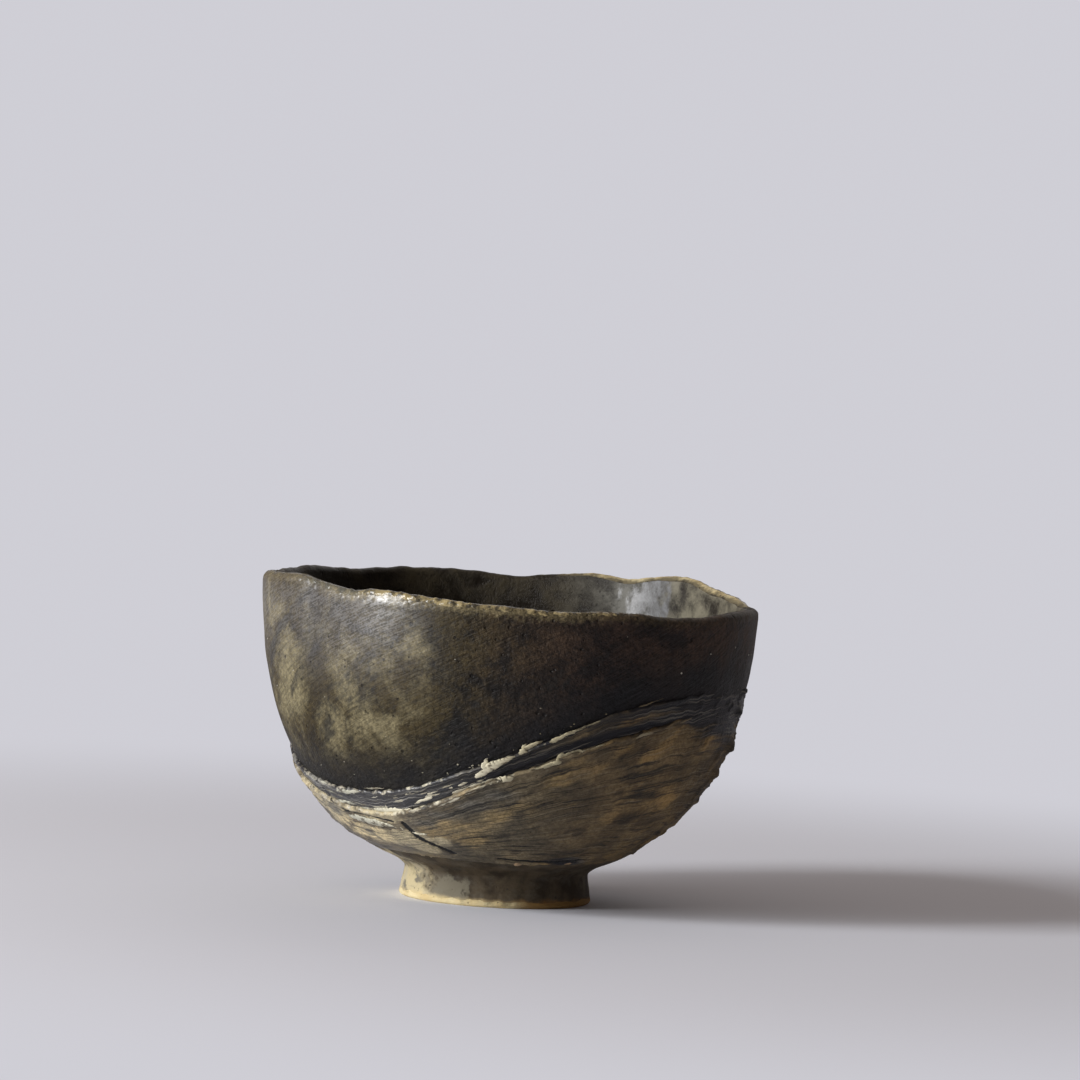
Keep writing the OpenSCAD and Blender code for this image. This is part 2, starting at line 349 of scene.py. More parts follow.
class Wall:
    """The clay wall in a chosen number of columns, with the crease that a thumb left under the lip."""

    def __init__(self, columns):
        self.columns = columns
        self.angle = np.arange(columns) * math.tau / columns
        self.lip = finer(cad_lip, columns)
        self.shoulder = self.lip - lip_round
        self.slip_edge, self.lap_edge = finer(cad_slip_edge, columns), finer(cad_lap_edge, columns)
        self.outside, self.inside = finer(cad_outside, columns), finer(cad_inside, columns)
        self.crease = np.exp(-((self.turned_from(crease_turn) / crease_reach) ** 2))
        self.outside = self.outside - crease_depth * self.crease * spaced(-0.6, 1, wall_rows).clip(0)
        self.nicked = lip_nick * np.clip(0.45 + 0.7 * self.wander(11, 3.0), 0, 1)

    def turned_from(self, degrees):
        """How far each column is turned from one side of the cup, in degrees either way."""
        return (np.degrees(self.angle) - degrees + 180) % 360 - 180

    def reach(self, profile, bottom, z):
        """The wall's distance from the middle at each height z, one row of columns after another."""
        share = np.clip((z - bottom) / (self.shoulder - bottom), 0, 1) * (wall_rows - 1)
        low = np.minimum(share.astype(int), wall_rows - 2)
        part, column = share - low, np.arange(self.columns)
        return profile[low, column] * (1 - part) + profile[low + 1, column] * part

    def lifted(self, profile, bottom, z, lift):
        """Points raised from the wall, square to it, by lift."""
        step = 0.4 * MM
        rise = self.reach(profile, bottom, z + step) - self.reach(profile, bottom, z - step)
        slope = rise / (2 * step)
        length = np.sqrt(1 + slope * slope)
        return self.points(self.reach(profile, bottom, z) + lift / length, z - lift * slope / length)

    def outer(self, z, lift):
        return self.lifted(self.outside, bowl_bottom, z, lift)

    def inner(self, z, lift):
        return self.lifted(self.inside, well_bottom, z, -lift)

    def over_lip(self, bend, lift):
        """Rings over the nicked lip, from its outer shoulder at 0 to its inner one at half a turn."""
        outside, inside = self.outside[-1], self.inside[-1]
        grown = lift - self.nicked * np.sin(bend).clip(0)
        radius = (outside + inside) / 2 + ((outside - inside) / 2 + grown) * np.cos(bend)
        return self.points(radius, self.shoulder + (lip_round + grown) * np.sin(bend))

    def points(self, radius, z):
        return np.stack([radius * np.cos(self.angle), radius * np.sin(self.angle), z + 0 * radius], axis=-1)

    def wander(self, turns, seed):
        """A seeded, uneven line round the cup, from about -1 to 1, that closes on itself."""
        round_cup = (Vector((turns * math.cos(a), turns * math.sin(a), seed)) for a in self.angle)
        return np.array([noise.fractal(spot, 1.0, 2.0, 4) for spot in round_cup])

    def around(self, shares):
        """Shares spaced evenly round the cup, joined by a smooth line and held to 0 and 1."""
        return np.clip(finer(np.array(shares, dtype=float), self.columns), 0, 1)

    def near(self, z, places):
        """1 at each place, in degrees and millimetres up, fading to 0 over its reach in each."""
        total = 0 * z
        for degrees, height, reach, tall in places:
            turn = self.turned_from(degrees)
            total = total + np.exp(-((turn / reach) ** 2) - ((z / MM - height) / tall) ** 2)
        return np.clip(total, 0, 1)


print("wall ready in any number of columns")

# %% [markdown]
# ## Making skins
# Each coat is a closed skin: rings of points from its lower edge up the shown side, round its upper edge,
# and down the hidden side. Numbers that the finishes need, such as the distance from an edge, ride along as
# attributes on the points. A shape rule, if there is one, then works the skin, and only the finished plain
# mesh is settled into the cup.


# %% Helpers for skins
def skin(name, rings, material, poles=(), **attributes):
    """A closed skin through rings of points; it runs round, or ends in a pole at each end."""
    rows, columns = rings.shape[:2]
    spots = rings.reshape(-1, 3)
    lower = np.arange(rows if not len(poles) else rows - 1)[:, None] * columns + np.arange(columns)
    upper = (lower + columns) % (rows * columns)
    quads = np.stack([lower, np.roll(lower, -1, 1), np.roll(upper, -1, 1), upper], axis=-1)
    faces = quads.reshape(-1, 4).tolist()
    if len(poles):
        spots = np.concatenate([spots, np.array(poles)])
        first, last = np.arange(columns), np.arange(columns) + (rows - 1) * columns
        faces += [(len(spots) - 2, b, a) for a, b in zip(first.tolist(), np.roll(first, -1).tolist())]
        faces += [(len(spots) - 1, a, b) for a, b in zip(last.tolist(), np.roll(last, -1).tolist())]
    mesh = bpy.data.meshes.new(name)
    mesh.from_pydata(spots.tolist(), [], faces)
    for label, values in attributes.items():
        flat = np.broadcast_to(values, (rows, columns)).reshape(-1)
        carry(mesh, label, np.concatenate([flat, np.zeros(len(spots) - len(flat))]))
    mesh.shade_smooth()
    mesh.materials.append(material)
    return piece_of(name, mesh)


def carry(mesh, label, values):
    """Puts a number on every point of a mesh."""
    numbers = mesh.attributes.new(label, "FLOAT", "POINT").data
    numbers.foreach_set("value", np.asarray(values, dtype=np.float32))


def piece_of(name, mesh):
    piece = bpy.data.objects.new(name, mesh)
    bpy.context.scene.collection.objects.link(piece)
    return piece


def shaped(piece, rule, **sizes):
    """Runs a shape rule, a Geometry Nodes tree, on a piece and keeps the result as a plain mesh."""
    worker = piece.modifiers.new(rule.name, "NODES")
    worker.node_group = rule
    for item in rule.interface.items_tree:
        label = item.name.replace(" ", "_").lower()
        if item.in_out == "INPUT" and label in sizes:
            worker[item.identifier] = sizes[label]
    ready = bpy.context.evaluated_depsgraph_get()
    done = piece.evaluated_get(ready)
    mesh = bpy.data.meshes.new_from_object(done, preserve_all_data_layers=True, depsgraph=ready)
    piece.modifiers.clear()
    piece.data = mesh
    return piece


def settle(piece, slot, *nodes):
    """Makes a finished piece part of the cup, in place of the solids that it stands for."""
    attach(piece, "root")
    if nodes:
        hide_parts(*nodes)
    print(piece.name, "has", len(piece.data.polygons), "faces")
    return piece


print("skin helpers ready")


# %% Helpers for shape rules
def new_rule(name, **sizes):
    """A Geometry Nodes tree with an input for each size. Hands it back, with a wire from each input."""
    tree = bpy.data.node_groups.new(name, "GeometryNodeTree")
    tree.interface.new_socket("Geometry", in_out="INPUT", socket_type="NodeSocketGeometry")
    kinds = {"material": "NodeSocketMaterial", "seed": "NodeSocketInt"}
    for label, value in sizes.items():
        title, kind = label.replace("_", " ").capitalize(), kinds.get(label, "NodeSocketFloat")
        socket = tree.interface.new_socket(title, in_out="INPUT", socket_type=kind)
        if value is not None:
            socket.default_value = value
    tree.interface.new_socket("Geometry", in_out="OUTPUT", socket_type="NodeSocketGeometry")
    entry = tree.nodes.new("NodeGroupInput")
    return tree, *(Wire(tree, entry.outputs[k]) for k in range(len(sizes) + 1))


def end_rule(tree, shape, material):
    """Every rule ends with real geometry that wears its material."""
    real = place(tree, "GeometryNodeRealizeInstances", (shape,))
    place(tree, "NodeGroupOutput", (place(tree, "GeometryNodeSetMaterial", {0: real, 2: material}),))
    print("rule:", tree.name)


def carried(tree, label, kind="FLOAT"):
    """A number or a direction that rides on the points."""
    return place(tree, "GeometryNodeInputNamedAttribute", {"Name": label}, data_type=kind)


def moved(shape, direction, distance):
    """Moves each point along a direction."""
    return place(shape.tree, "GeometryNodeSetPosition", {0: shape, 3: sized(direction, distance)})


def raised(shape, distance):
    """Moves each point straight out of the surface."""
    return moved(shape, place(shape.tree, "GeometryNodeInputNormal"), distance)


def seeded_noise(where, seed, scale, detail, output=0):
    inputs = {0: where, 1: seed, 2: scale, 3: detail}
    return place(where.tree, "ShaderNodeTexNoise", inputs, output, noise_dimensions="4D")


print("rule helpers ready")

# %% [markdown]
# ## Finishes
# Under all of it is one ochre clay. Dark iron glaze breaks to ochre where it runs thin, and a brown wash
# over the slip was wiped off, so it stays in the hollows while the ridges are left cream. Mottling, grain
# and specks return in several finishes, so each is a node group with its own values in each material.


# %% Helpers for effects
def new_effect(name, inputs, outputs):
    """A shader node group. Hands it back, with a wire from each input and the node for its outputs."""
    tree = bpy.data.node_groups.new(name, "ShaderNodeTree")
    for label, value in inputs.items():
        kind = "NodeSocketColor" if isinstance(value, tuple) else "NodeSocketFloat"
        tree.interface.new_socket(label, in_out="INPUT", socket_type=kind).default_value = value
    for label, kind in outputs.items():
        tree.interface.new_socket(label, in_out="OUTPUT", socket_type=kind)
    entry, leave = tree.nodes.new("NodeGroupInput"), tree.nodes.new("NodeGroupOutput")
    return tree, [Wire(tree, entry.outputs[k]) for k in range(len(inputs))], leave


def give(leave, **results):
    """Plugs an effect's results into its outputs."""
    for label, wire in results.items():
        wire.tree.links.new(wire.socket, leave.inputs[label.capitalize()])


def effect(spot, group, **values):
    """Places an effect in spot's tree with its own values. Hands back a wire from each of its outputs."""
    inputs = {label.replace("_", " ").capitalize(): value for label, value in values.items()}
    return outlets(place(spot.tree, "ShaderNodeGroup", inputs, node_tree=group))


def here(tree):
    """Where a point is on the cup, in millimetres."""
    return sized(place(tree, "ShaderNodeTexCoord", output=3), 1 / MM)


print("effect helpers ready")


# %% Helpers for finishes
def side(spot, degrees):
    """How far a point faces one side of the cup: 1 there, -1 on the far side."""
    x, y, _ = parts(spot)
    a = math.radians(degrees)
    return (x * math.cos(a) + y * math.sin(a)) / (x * x + y * y + 0.01) ** 0.5


def facing(spot, degrees, start, end):
    """0 up to start and 1 from end on, as a point turns towards one side of the cup."""
    return fade(side(spot, degrees), start, end)


def slanted(spot, lean, across, along):
    """Places for noise that is drawn out along lines which climb to the right round the cup."""
    z = parts(spot)[2]
    inputs = {"Vector": spot, "Angle": z * -lean}
    x, y, _ = parts(place(spot.tree, "ShaderNodeVectorRotate", inputs, rotation_type="Z_AXIS"))
    return point(x * across, y * across, z * along)


def worn(spot, label):
    """A number that rides on the points, read by the finish that spot is in."""
    return place(spot.tree, "ShaderNodeAttribute", output=2, attribute_name=label)


def new_finish(name, sockets):
    """A material with plain values on its Principled shader. Hands back both, and the place on the cup."""
    material = bpy.data.materials.new(name)
    material.use_nodes = True
    shader = material.node_tree.nodes["Principled BSDF"]
    for label, value in sockets.items():
        shader.inputs[label].default_value = value
    print("finish:", name)
    return material, shader, here(material.node_tree)


def finish(shader, colour, height=None, depth=0.1, strength=1.0, **sockets):
    """Plugs colour, relief of a depth in millimetres, and other sockets into the shader."""
    tree = colour.tree
    tree.links.new(colour.socket, shader.inputs["Base Color"])
    for label, wire in sockets.items():
        tree.links.new(wire.socket, shader.inputs[label.replace("_", " ").title()])
    if height is not None:
        inputs = {"Strength": strength, "Distance": depth * MM, "Height": height}
        bump = place(tree, "ShaderNodeBump", inputs)
        tree.links.new(bump.socket, shader.inputs["Normal"])


print("finish helpers ready")

# %% Effects that several finishes share
grain_effect, (fineness,), leave = new_effect(
    "Clay grain", {"Fineness": 2.0}, {"Height": "NodeSocketFloat", "Pit": "NodeSocketFloat"}
)
spot = here(grain_effect)
coarse = cloud(spot, fineness, 4, 0.6)
nearest = place(grain_effect, "ShaderNodeTexVoronoi", {0: spot, 2: fineness * 0.45})
pit = fade(nearest + jitter(spot, 0.5, fineness * 0.3), 0.16, 0.04)
give(leave, height=coarse - pit * 0.6, pit=pit)


def grained(spot, colour, fineness, pit_level):
    """The colour, darker in the clay's pits, and the height of its grain."""
    relief, pit = effect(spot, grain_effect, fineness=fineness)
    return dimmed(colour, pit, pit_level), relief


mottle_effect, (dark, pale, size, cover), leave = new_effect(
    "Kiln mottling",
    {"Dark": rgb(0.03, 0.027, 0.024), "Pale": rgb(0.22, 0.18, 0.11), "Size": 8.0, "Cover": 0.5},
    {"Colour": "NodeSocketColor", "Thin": "NodeSocketFloat"},
)
spot = here(mottle_effect)
broad = jitter(spot, 1.5, size ** -1.0, 3, 0.55, 0.4)
patchy = jitter(spot, 0.65, (size * 0.3) ** -1.0, 6, 0.62, 0.3)
dusting = jitter(spot, 0.45, 3.0, 4, 0.75)
thin = fade(broad + patchy + dusting + cover, 0.26, 0.74)
give(leave, colour=tint(thin, dark, pale), thin=thin)

speck_effect, (under, speck, spacing, speck_size), leave = new_effect(
    "Iron specks",
    {"Colour": rgb(0.6, 0.5, 0.3), "Speck": rgb(0.06, 0.045, 0.03), "Spacing": 2.0, "Speck size": 0.2},
    {"Colour": "NodeSocketColor"},
)
spot = here(speck_effect)
nearest = place(speck_effect, "ShaderNodeTexVoronoi", {0: spot, 2: spacing ** -1.0})
uneven = cloud(spot, 0.4)
give(leave, colour=tint(fade(nearest, speck_size * uneven * 2, speck_size * uneven), under, speck))
print("effects:", grain_effect.name, mottle_effect.name, speck_effect.name)

# %% The clay's finish
# Sides of the cup, in degrees round it: the camera stands at 270
window_side, left_edge, shaded_side = 215, 203, 330
iron_black = rgb(0.017, 0.016, 0.016)
ochre_clay, pale_clay = rgb(0.60, 0.47, 0.24), rgb(0.70, 0.60, 0.36)
olive, soot, painted_warm_glow = rgb(0.15, 0.125, 0.075), rgb(0.028, 0.023, 0.018), rgb(0.34, 0.2, 0.066)

bare_clay, shader, spot = new_finish("bare_clay", {"Roughness": 0.8, "Specular IOR Level": 0.3})
_, _, level = parts(spot)
# On the lip this is a real stain; on the foot it is also painted shade, darker away from the window
stain = worn(spot, "stain")
body = tint(fade(cloud(spot, 0.35, 5, 0.6), 0.35, 0.65), ochre_clay, pale_clay)
(body,) = effect(
    spot, speck_effect, colour=body, speck=rgb(0.2, 0.13, 0.07), spacing=1.1, speck_size=0.13
)
body = painted(
    body,
    (fade(cloud(spot, 0.5, 5, 0.65) + stain * 0.9, 0.55, 0.95), olive),
    (fade(cloud(spot, 0.6, 5, 0.65) + stain, 0.9, 1.25), soot),
    # Painted glow: a warm orange on the shaded side near the foot, for light thrown back into the shade
    (fade(level, 5.0, 4.0) * facing(spot, shaded_side, 0.6, 0.85), painted_warm_glow),
)
body, relief = grained(spot, body, 2.2, 0.45)
finish(shader, body, relief, 0.14, 0.8)

# %% The wall's glaze
thin_ochre, crust_ochre = rgb(0.265, 0.225, 0.125), rgb(0.26, 0.21, 0.11)
smear_dark, pool_and_edge_shade_dark = rgb(0.021, 0.0205, 0.019), rgb(0.012, 0.012, 0.014)
crease_painted_shade = rgb(0.03, 0.027, 0.025)

dark_glaze, shader, spot = new_finish(
    "dark_glaze", {"Specular IOR Level": 0.22, "Coat Roughness": 0.38, "Coat IOR": 2.2}
)
below_lip = worn(spot, "below_lip")
lit, left = facing(spot, window_side, 0.62, 0.97), facing(spot, window_side, 0.5, 0.97)
shaded = facing(spot, 325, 0.3, 0.9)
# Painted shade tone: the dark and the thin colours each have a redder copy on the shaded side
smoke = tint(shaded, rgb(0.011, 0.009, 0.006), rgb(0.018, 0.012, 0.0105))
umber = tint(shaded, rgb(0.064, 0.047, 0.018), rgb(0.072, 0.043, 0.029))
colour, thin = effect(spot, mottle_effect, dark=smoke, pale=umber, size=6.0, cover=lit * 0.25 + 0.5)
misty = cloud(spot, 0.16, 5, 0.6, 0.5) + jitter(spot, 0.28, 0.8, 5, 0.75)
misty = misty + worn(spot, "misted") * 0.2 + left * 0.06
smeared = cloud(slanted(spot, 0.03, 0.16, 0.07), 1.0, 4, 0.6) + jitter(spot, 0.2, 0.7, 3)
# The wash pools above the slip's edge; its darkest part, at the edge, is also painted shade
pooled_and_edge_shade = fade(worn(spot, "above_slip") + jitter(spot, 7, 0.3, 3), 9.0, 0.5)
crust = fade(below_lip + jitter(spot, 3.4, 1.1, 4, 0.7), 0.9, -0.4) * worn(spot, "crusted")
colour = painted(
    colour,
    (fade(misty, 0.5, 0.84) * left, thin_ochre),
    (fade(smeared, 0.56, 0.68) * 0.75, smear_dark),
    (pooled_and_edge_shade * 0.9, pool_and_edge_shade_dark),
    (crust * 0.8, crust_ochre),
    # Painted shade in the thumb's crease under the lip
    (worn(spot, "crease") * 0.6, crease_painted_shade),
)
scratch = cloud(slanted(spot, 0.054, 1.2, 0.16), 1.0, 3, 0.6)
colour = dimmed(colour, fade(cloud(spot, 1.5, 5, 0.8), 0.6, 0.4), 0.56)
colour = dimmed(colour, fade(scratch, 0.52, 0.36), 0.7)
colour, relief = grained(spot, colour, 1.4, 0.4)
streak = cloud(slanted(spot, 0.06, 2.1, 1.3), 1.0, 3, 0.6) * 0.6 + cloud(spot, 3.2, 3, 0.6) * 0.4
glint = fade(streak, 0.42, 0.58) * 0.85 + 0.42
satin = facing(spot, 212, 0.66, 0.97) * fade(below_lip, 18.0, 0.0) * glint
finish(
    shader, colour, relief + scratch * 0.55, 0.34, 1.0,
    roughness=thin * 0.1 + scratch * 0.1 + 0.45, coat_weight=satin,
)

# %% The well's finish
# The window lights the far right of the well, and shows there as one gleam
lit_turn, well_radius = 0.62, 30
gleam_side = 53.5

well_dark, shader, spot = new_finish(
    "well_dark", {"Specular IOR Level": 0.25, "Coat Roughness": 0.36, "Coat IOR": 1.6}
)
x, y, _ = parts(spot)
lit = x * (math.cos(lit_turn) / well_radius) + y * (math.sin(lit_turn) / well_radius)
lit = fade(lit, 0.76, 1.08)
right = facing(spot, 25, 0.9, 0.97)
ripple = jitter(slanted(spot, 0.0, 0.4, 0.25), 0.045, 1.0, 4, 0.6)
gleam = fade(side(spot, gleam_side) + ripple, 0.991, 0.9995)
pale = tint(right, rgb(0.14, 0.135, 0.115), rgb(0.23, 0.21, 0.15))
# Painted highlight: the pale colour turns bluish white at the gleam
pale = tint(gleam, pale, rgb(0.2, 0.206, 0.217))
# Painted light: the pale mottling is paler, and covers more, where the window lights the well
pale = tint(lit, rgb(0.054, 0.043, 0.025), pale)
colour, thin = effect(
    spot, mottle_effect, dark=rgb(0.014, 0.0105, 0.007), pale=pale, size=7.0, cover=lit * 0.1 + 0.45
)
colour, relief = grained(spot, colour, 1.5, 0.5)
sheen = (thin * 0.5 + 0.3) * (right * 0.9 + 0.15) + gleam * 0.95
finish(
    shader, colour, relief + thin, 0.16, 0.7,
    roughness=thin * 0.2 + 0.38, coat_weight=lit * sheen,
)

# %% The foot's finish
foot_wash, shader, spot = new_finish("foot_wash", {"Roughness": 0.68, "Specular IOR Level": 0.28})
_, _, level = parts(spot)
brown = fade(cloud(spot, 0.3, 4, 0.6), 0.35, 0.65)
brown = tint(brown, rgb(0.036, 0.025, 0.014), rgb(0.095, 0.071, 0.042))
clay = tint(fade(cloud(spot, 0.25, 4), 0.4, 0.6), rgb(0.53, 0.45, 0.27), rgb(0.46, 0.41, 0.29))
bared = fade(side(spot, 196) + jitter(spot, 0.5, 0.3, 5, 0.6) - (level - 2.5) * 0.03, 0.81, 0.93)
patchy = cloud(spot, 0.7, 5, 0.65) - 0.5
wiped = fade(side(spot, 242) + patchy * 0.1, 0.968, 0.988) * fade(level + patchy * 5, 4.4, 3.2)
greyed = cloud(slanted(spot, 0.0, 0.3, 0.5), 1.0, 5, 0.65)
greyed = fade(greyed, 0.48, 0.62) * (bared * 0.75 + 0.2)
rim_bare = fade(level + jitter(spot, 1.4, 0.5, 4), 1.5, 0.5)
# Painted shade and glow: the rim's bare clay turns a darker orange on the side away from the window
rim_clay_and_shade = tint(facing(spot, window_side, 0.0, 0.95), rgb(0.34, 0.17, 0.045), rgb(0.66, 0.53, 0.28))
body = painted(
    brown,
    (bared, clay),
    (wiped * 0.9, rgb(0.18, 0.16, 0.112)),
    (greyed, rgb(0.17, 0.155, 0.12)),
    (rim_bare, rim_clay_and_shade),
)
(body,) = effect(
    spot, speck_effect, colour=body, speck=rgb(0.05, 0.04, 0.03), spacing=1.6, speck_size=0.1
)
body, relief = grained(spot, body, 1.8, 0.6)
finish(shader, body, relief, 0.12, 0.7)

# %% The slip's finish
# The bristle lines are drawn along the stroke, a share of the way from the foot to the lap's edge, so that
# they lie close together where the coat is low and fan out where it is high.
slip_umber, slip_brown = rgb(0.12, 0.1, 0.067), rgb(0.235, 0.188, 0.112)
slip_ochre, stain_dark = rgb(0.42, 0.308, 0.145), rgb(0.036, 0.026, 0.018)
hollow_grey, ridge_tan = rgb(0.17, 0.16, 0.13), rgb(0.30, 0.25, 0.17)
wash_and_shade_dark, cut_shade_dark = rgb(0.014, 0.014, 0.017), rgb(0.008, 0.008, 0.008)

brushed_slip, shader, spot = new_finish(
    "brushed_slip", {"Specular IOR Level": 0.25, "Coat Roughness": 0.34, "Coat IOR": 1.6}
)
x, y, level = parts(spot)
out = from_axis(x, y)
stroke = worn(spot, "stroke") + jitter(spot, 0.1, 0.09)


def bristle_lines(count, turns):
    return cloud(point(x / out * turns, y / out * turns, stroke * count), 1.0, 3, 0.6)


coarse_lines, fine_lines = bristle_lines(26.0, 2.2), bristle_lines(88.0, 3.4)
drift = cloud(slanted(spot, 0.03, 0.2, 0.06), 1.0, 5, 0.6, 0.3)
streaky = drift + (coarse_lines - 0.5) * 0.3 + (fine_lines - 0.5) * 0.2
body = tint(fade(cloud(spot, 0.16, 4, 0.6), 0.38, 0.62), slip_umber, slip_brown)
body = tint(fade(streaky + worn(spot, "ochre") * 0.24, 0.54, 0.8), body, slip_ochre)
# Painted shade: the slip is dimmer and warmer on the shaded side
body = dimmed(body, facing(spot, shaded_side, 0.55, 0.97), rgb(0.95, 0.82, 0.66))

gloom = cloud(slanted(spot, 0.03, 0.26, 0.09), 1.0, 5, 0.6) + worn(spot, "shade") * 0.24
# Painted sheen: grey along the bristle lines in a few places on the left
silvery = tint(fade(fine_lines, 0.44, 0.6), rgb(0.1, 0.094, 0.078), rgb(0.29, 0.275, 0.235))
low_left = facing(spot, 216, 0.96, 0.99) * fade(level, 12.5, 11.0)
buff = tint(low_left, rgb(0.6, 0.51, 0.32), rgb(0.9, 0.74, 0.43))
pale = worn(spot, "pale")
greyed = cloud(slanted(spot, 0.0, 0.22, 0.35), 1.0, 4, 0.6)
body = painted(
    body,
    (fade(gloom, 0.54, 0.74) * 0.7, stain_dark),
    (worn(spot, "silver") * 0.75, silvery),
    (fade(cloud(spot, 0.45, 5, 0.6) + pale * 0.5, 0.7, 0.95), buff),
    (fade(greyed, 0.52, 0.66) * pale * 0.8, hollow_grey),
    (fade(fine_lines, 0.55, 0.68) * 0.45, ridge_tan),
    (fade(coarse_lines, 0.43, 0.35) * 0.75, iron_black),
    (fade(fine_lines, 0.45, 0.35) * 0.7, iron_black),
)
body = dimmed(body, fade(cloud(spot, 1.7, 5, 0.75), 0.6, 0.4) * 0.7, 0.5)

# The wash's mask also holds painted shade, over the lap's edge and on the right
washed = fade(worn(spot, "washed") - (coarse_lines - 0.5) * 1.5, 0.3, 0.75)
# Painted sheen: ridges in the wash are paler grey on the side towards the window
wash_ridge_and_sheen = tint(facing(spot, window_side, 0.7, 0.95), rgb(0.13, 0.12, 0.1), rgb(0.33, 0.32, 0.285))
bared = fade(worn(spot, "cream") + jitter(spot, 0.9, 0.9, 4, 0.6), 0.5, 0.72)
cream = tint(facing(spot, left_edge, 0.75, 0.97), rgb(0.72, 0.67, 0.50), rgb(0.46, 0.42, 0.33))
body = painted(
    body,
    (washed, tint(fade(fine_lines, 0.53, 0.66), wash_and_shade_dark, wash_ridge_and_sheen)),
    (bared, cream),
    # Painted shade: near black in the cuts, and as the shadow line under the slip's hem
    (fade(worn(spot, "cut"), 0.15, 0.5), cut_shade_dark),
)
body, relief = grained(spot, body, 2.8, 0.5)
finish(
    shader, body, relief * 0.6 + coarse_lines * 1.2 + fine_lines, 0.22, 0.9,
    roughness=washed * -0.2 + 0.66,
    coat_weight=(washed * 0.4 + 0.45) * facing(spot, window_side, 0.55, 0.97),
)

# %% The finishes of torn slip and grit
torn_slip, shader, spot = new_finish("torn_slip", {"Roughness": 0.5, "Specular IOR Level": 0.4})
_, _, level = parts(spot)
left = facing(spot, left_edge, 0.8, 0.97)
thick = fade(worn(spot, "girth"), 0.08 * MM, 0.32 * MM)
clean = tint(thick, rgb(0.34, 0.31, 0.23), rgb(0.80, 0.75, 0.57))
body = tint(facing(spot, 245, 0.25, 0.8), rgb(0.26, 0.195, 0.11), clean)
streaky = cloud(slanted(spot, 0.0, 0.7, 1.6), 1.0, 4, 0.6) + left * -0.07
body = tint(fade(streaky, 0.45, 0.34), body, rgb(0.24, 0.2, 0.14))
# Painted shade: the flakes are dimmer and warmer on the side turned from the window
body = dimmed(body, facing(spot, 310, 0.62, 0.87), rgb(0.58, 0.55, 0.46))
body = tint(fade(level, 9.0, 8.0) * 0.8, body, rgb(0.36, 0.22, 0.12))
body = dimmed(body, left, rgb(0.59, 0.62, 0.66))
relief, _ = effect(spot, grain_effect, fineness=3.0)
finish(shader, body, relief, 0.06, 0.5)

quartz_grit, shader, spot = new_finish("quartz_grit", {"Roughness": 0.35})
body = tint(fade(cloud(spot, 0.6, 3), 0.4, 0.6), rgb(0.2, 0.17, 0.12), rgb(0.62, 0.59, 0.5))
finish(shader, body)

# %% [markdown]
# ## The clay bowl
# The bowl was pinched from one ball of clay, so its lip wavers and is nicked. Nearly all of it is under
# glaze and slip; what shows is the lip and the disc under the foot, and these get most of the rings.

# %% Pinch the bowl
# Every list of shares runs round the cup in even steps, from its right-hand side and away from the camera
lip_stain_shares = [0.6, 0.15, 0, 0, 0, 0.2, 0.8, 1, 1, 1, 0.9, 0.7,
                    0.6, 0.55, 0.5, 0.6, 0.6, 0.6, 0.65, 0.8, 1, 1, 1, 1]
sunk = -0.04 * MM

wall = Wall(720)
outside_z = spaced(0.06, 1, 36) ** 2 * (wall.shoulder - bowl_bottom) + bowl_bottom
inside_z = spaced(1, 0.03, 18) ** 1.5 * (wall.shoulder - well_bottom) + well_bottom
over_lip = spaced(0, math.pi, 16)[1:-1]
bowl_rings = np.concatenate([
    wall.outer(outside_z, sunk), wall.over_lip(over_lip, 0.0), wall.inner(inside_z, sunk)
])
inward = np.concatenate([
    0 * outside_z[:, :1], np.clip(over_lip / math.pi * 1.6 - 0.7, 0, 1), 0 * inside_z[:, :1] + 1
])
clay_bowl = skin(
    "clay_bowl", bowl_rings, bare_clay, poles=[(0, 0, bowl_bottom), (0, 0, well_bottom)],
    stain=np.clip(wall.around(lip_stain_shares) + 0.7 * inward, 0, 1),
)
settle(clay_bowl, "bowl_clay", "bowl_wall")
print("lip nicked by up to", round(wall.nicked.max() / MM, 2), "mm")

# %% [markdown]
# ## The wall's glaze
# Above the slip the wall wears a thin iron glaze. Fingers left shallow dents in it, and over the lip it
# drew together in small lumps. Both are rules of the surface, so small Geometry Nodes trees make them:
# dents from soft noise, and lumps one in each cell of a cell pattern.

# %% The rule for dents
dents, shape, dent_depth, dent_size, seed, material = new_rule(
    "Finger dents", dent_depth=0.2 * MM, dent_size=9 * MM, seed=1, material=None
)
spot = sized(place(dents, "GeometryNodeInputPosition"), dent_size ** -1.0)
press = (seeded_noise(spot, seed, 1.0, 2.0) - 0.62) * carried(dents, "shown") * dent_depth * 2
end_rule(dents, raised(shape, press), material)

# %% The rule for a lumpy crust
lumps, shape, lump_size, lump_height, sunken, seed, material = new_rule(
    "Lumpy crust", lump_size=0.9 * MM, lump_height=0.3 * MM, sunken=0.5, seed=1, material=None
)
spot = sized(place(lumps, "GeometryNodeInputPosition"), lump_size ** -1.0)
inputs = {"Vector": spot, "W": seed, "Scale": 1.0, "Smoothness": 0.25}
cell = place(lumps, "ShaderNodeTexVoronoi", inputs, voronoi_dimensions="4D", feature="SMOOTH_F1")
lump = (cell.flipped() - sunken) * lump_height * carried(lumps, "fullness")
end_rule(lumps, raised(shape, lump), material)

# %% Glaze the wall
glaze_coat, tuck = 0.25 * MM, -0.02 * MM
glaze_rows, lip_rows = 118, 10
crusted_shares = [0.1, 0.7, 0.9, 0.9, 0.8, 0.5, 0.1, 0.1, 0.1, 0.1, 0.2, 0.2,
                  0.3, 0.4, 0.5, 0.9, 1.0, 1.0, 0.9, 0.6, 0.3, 0.15, 0.1, 0.1]
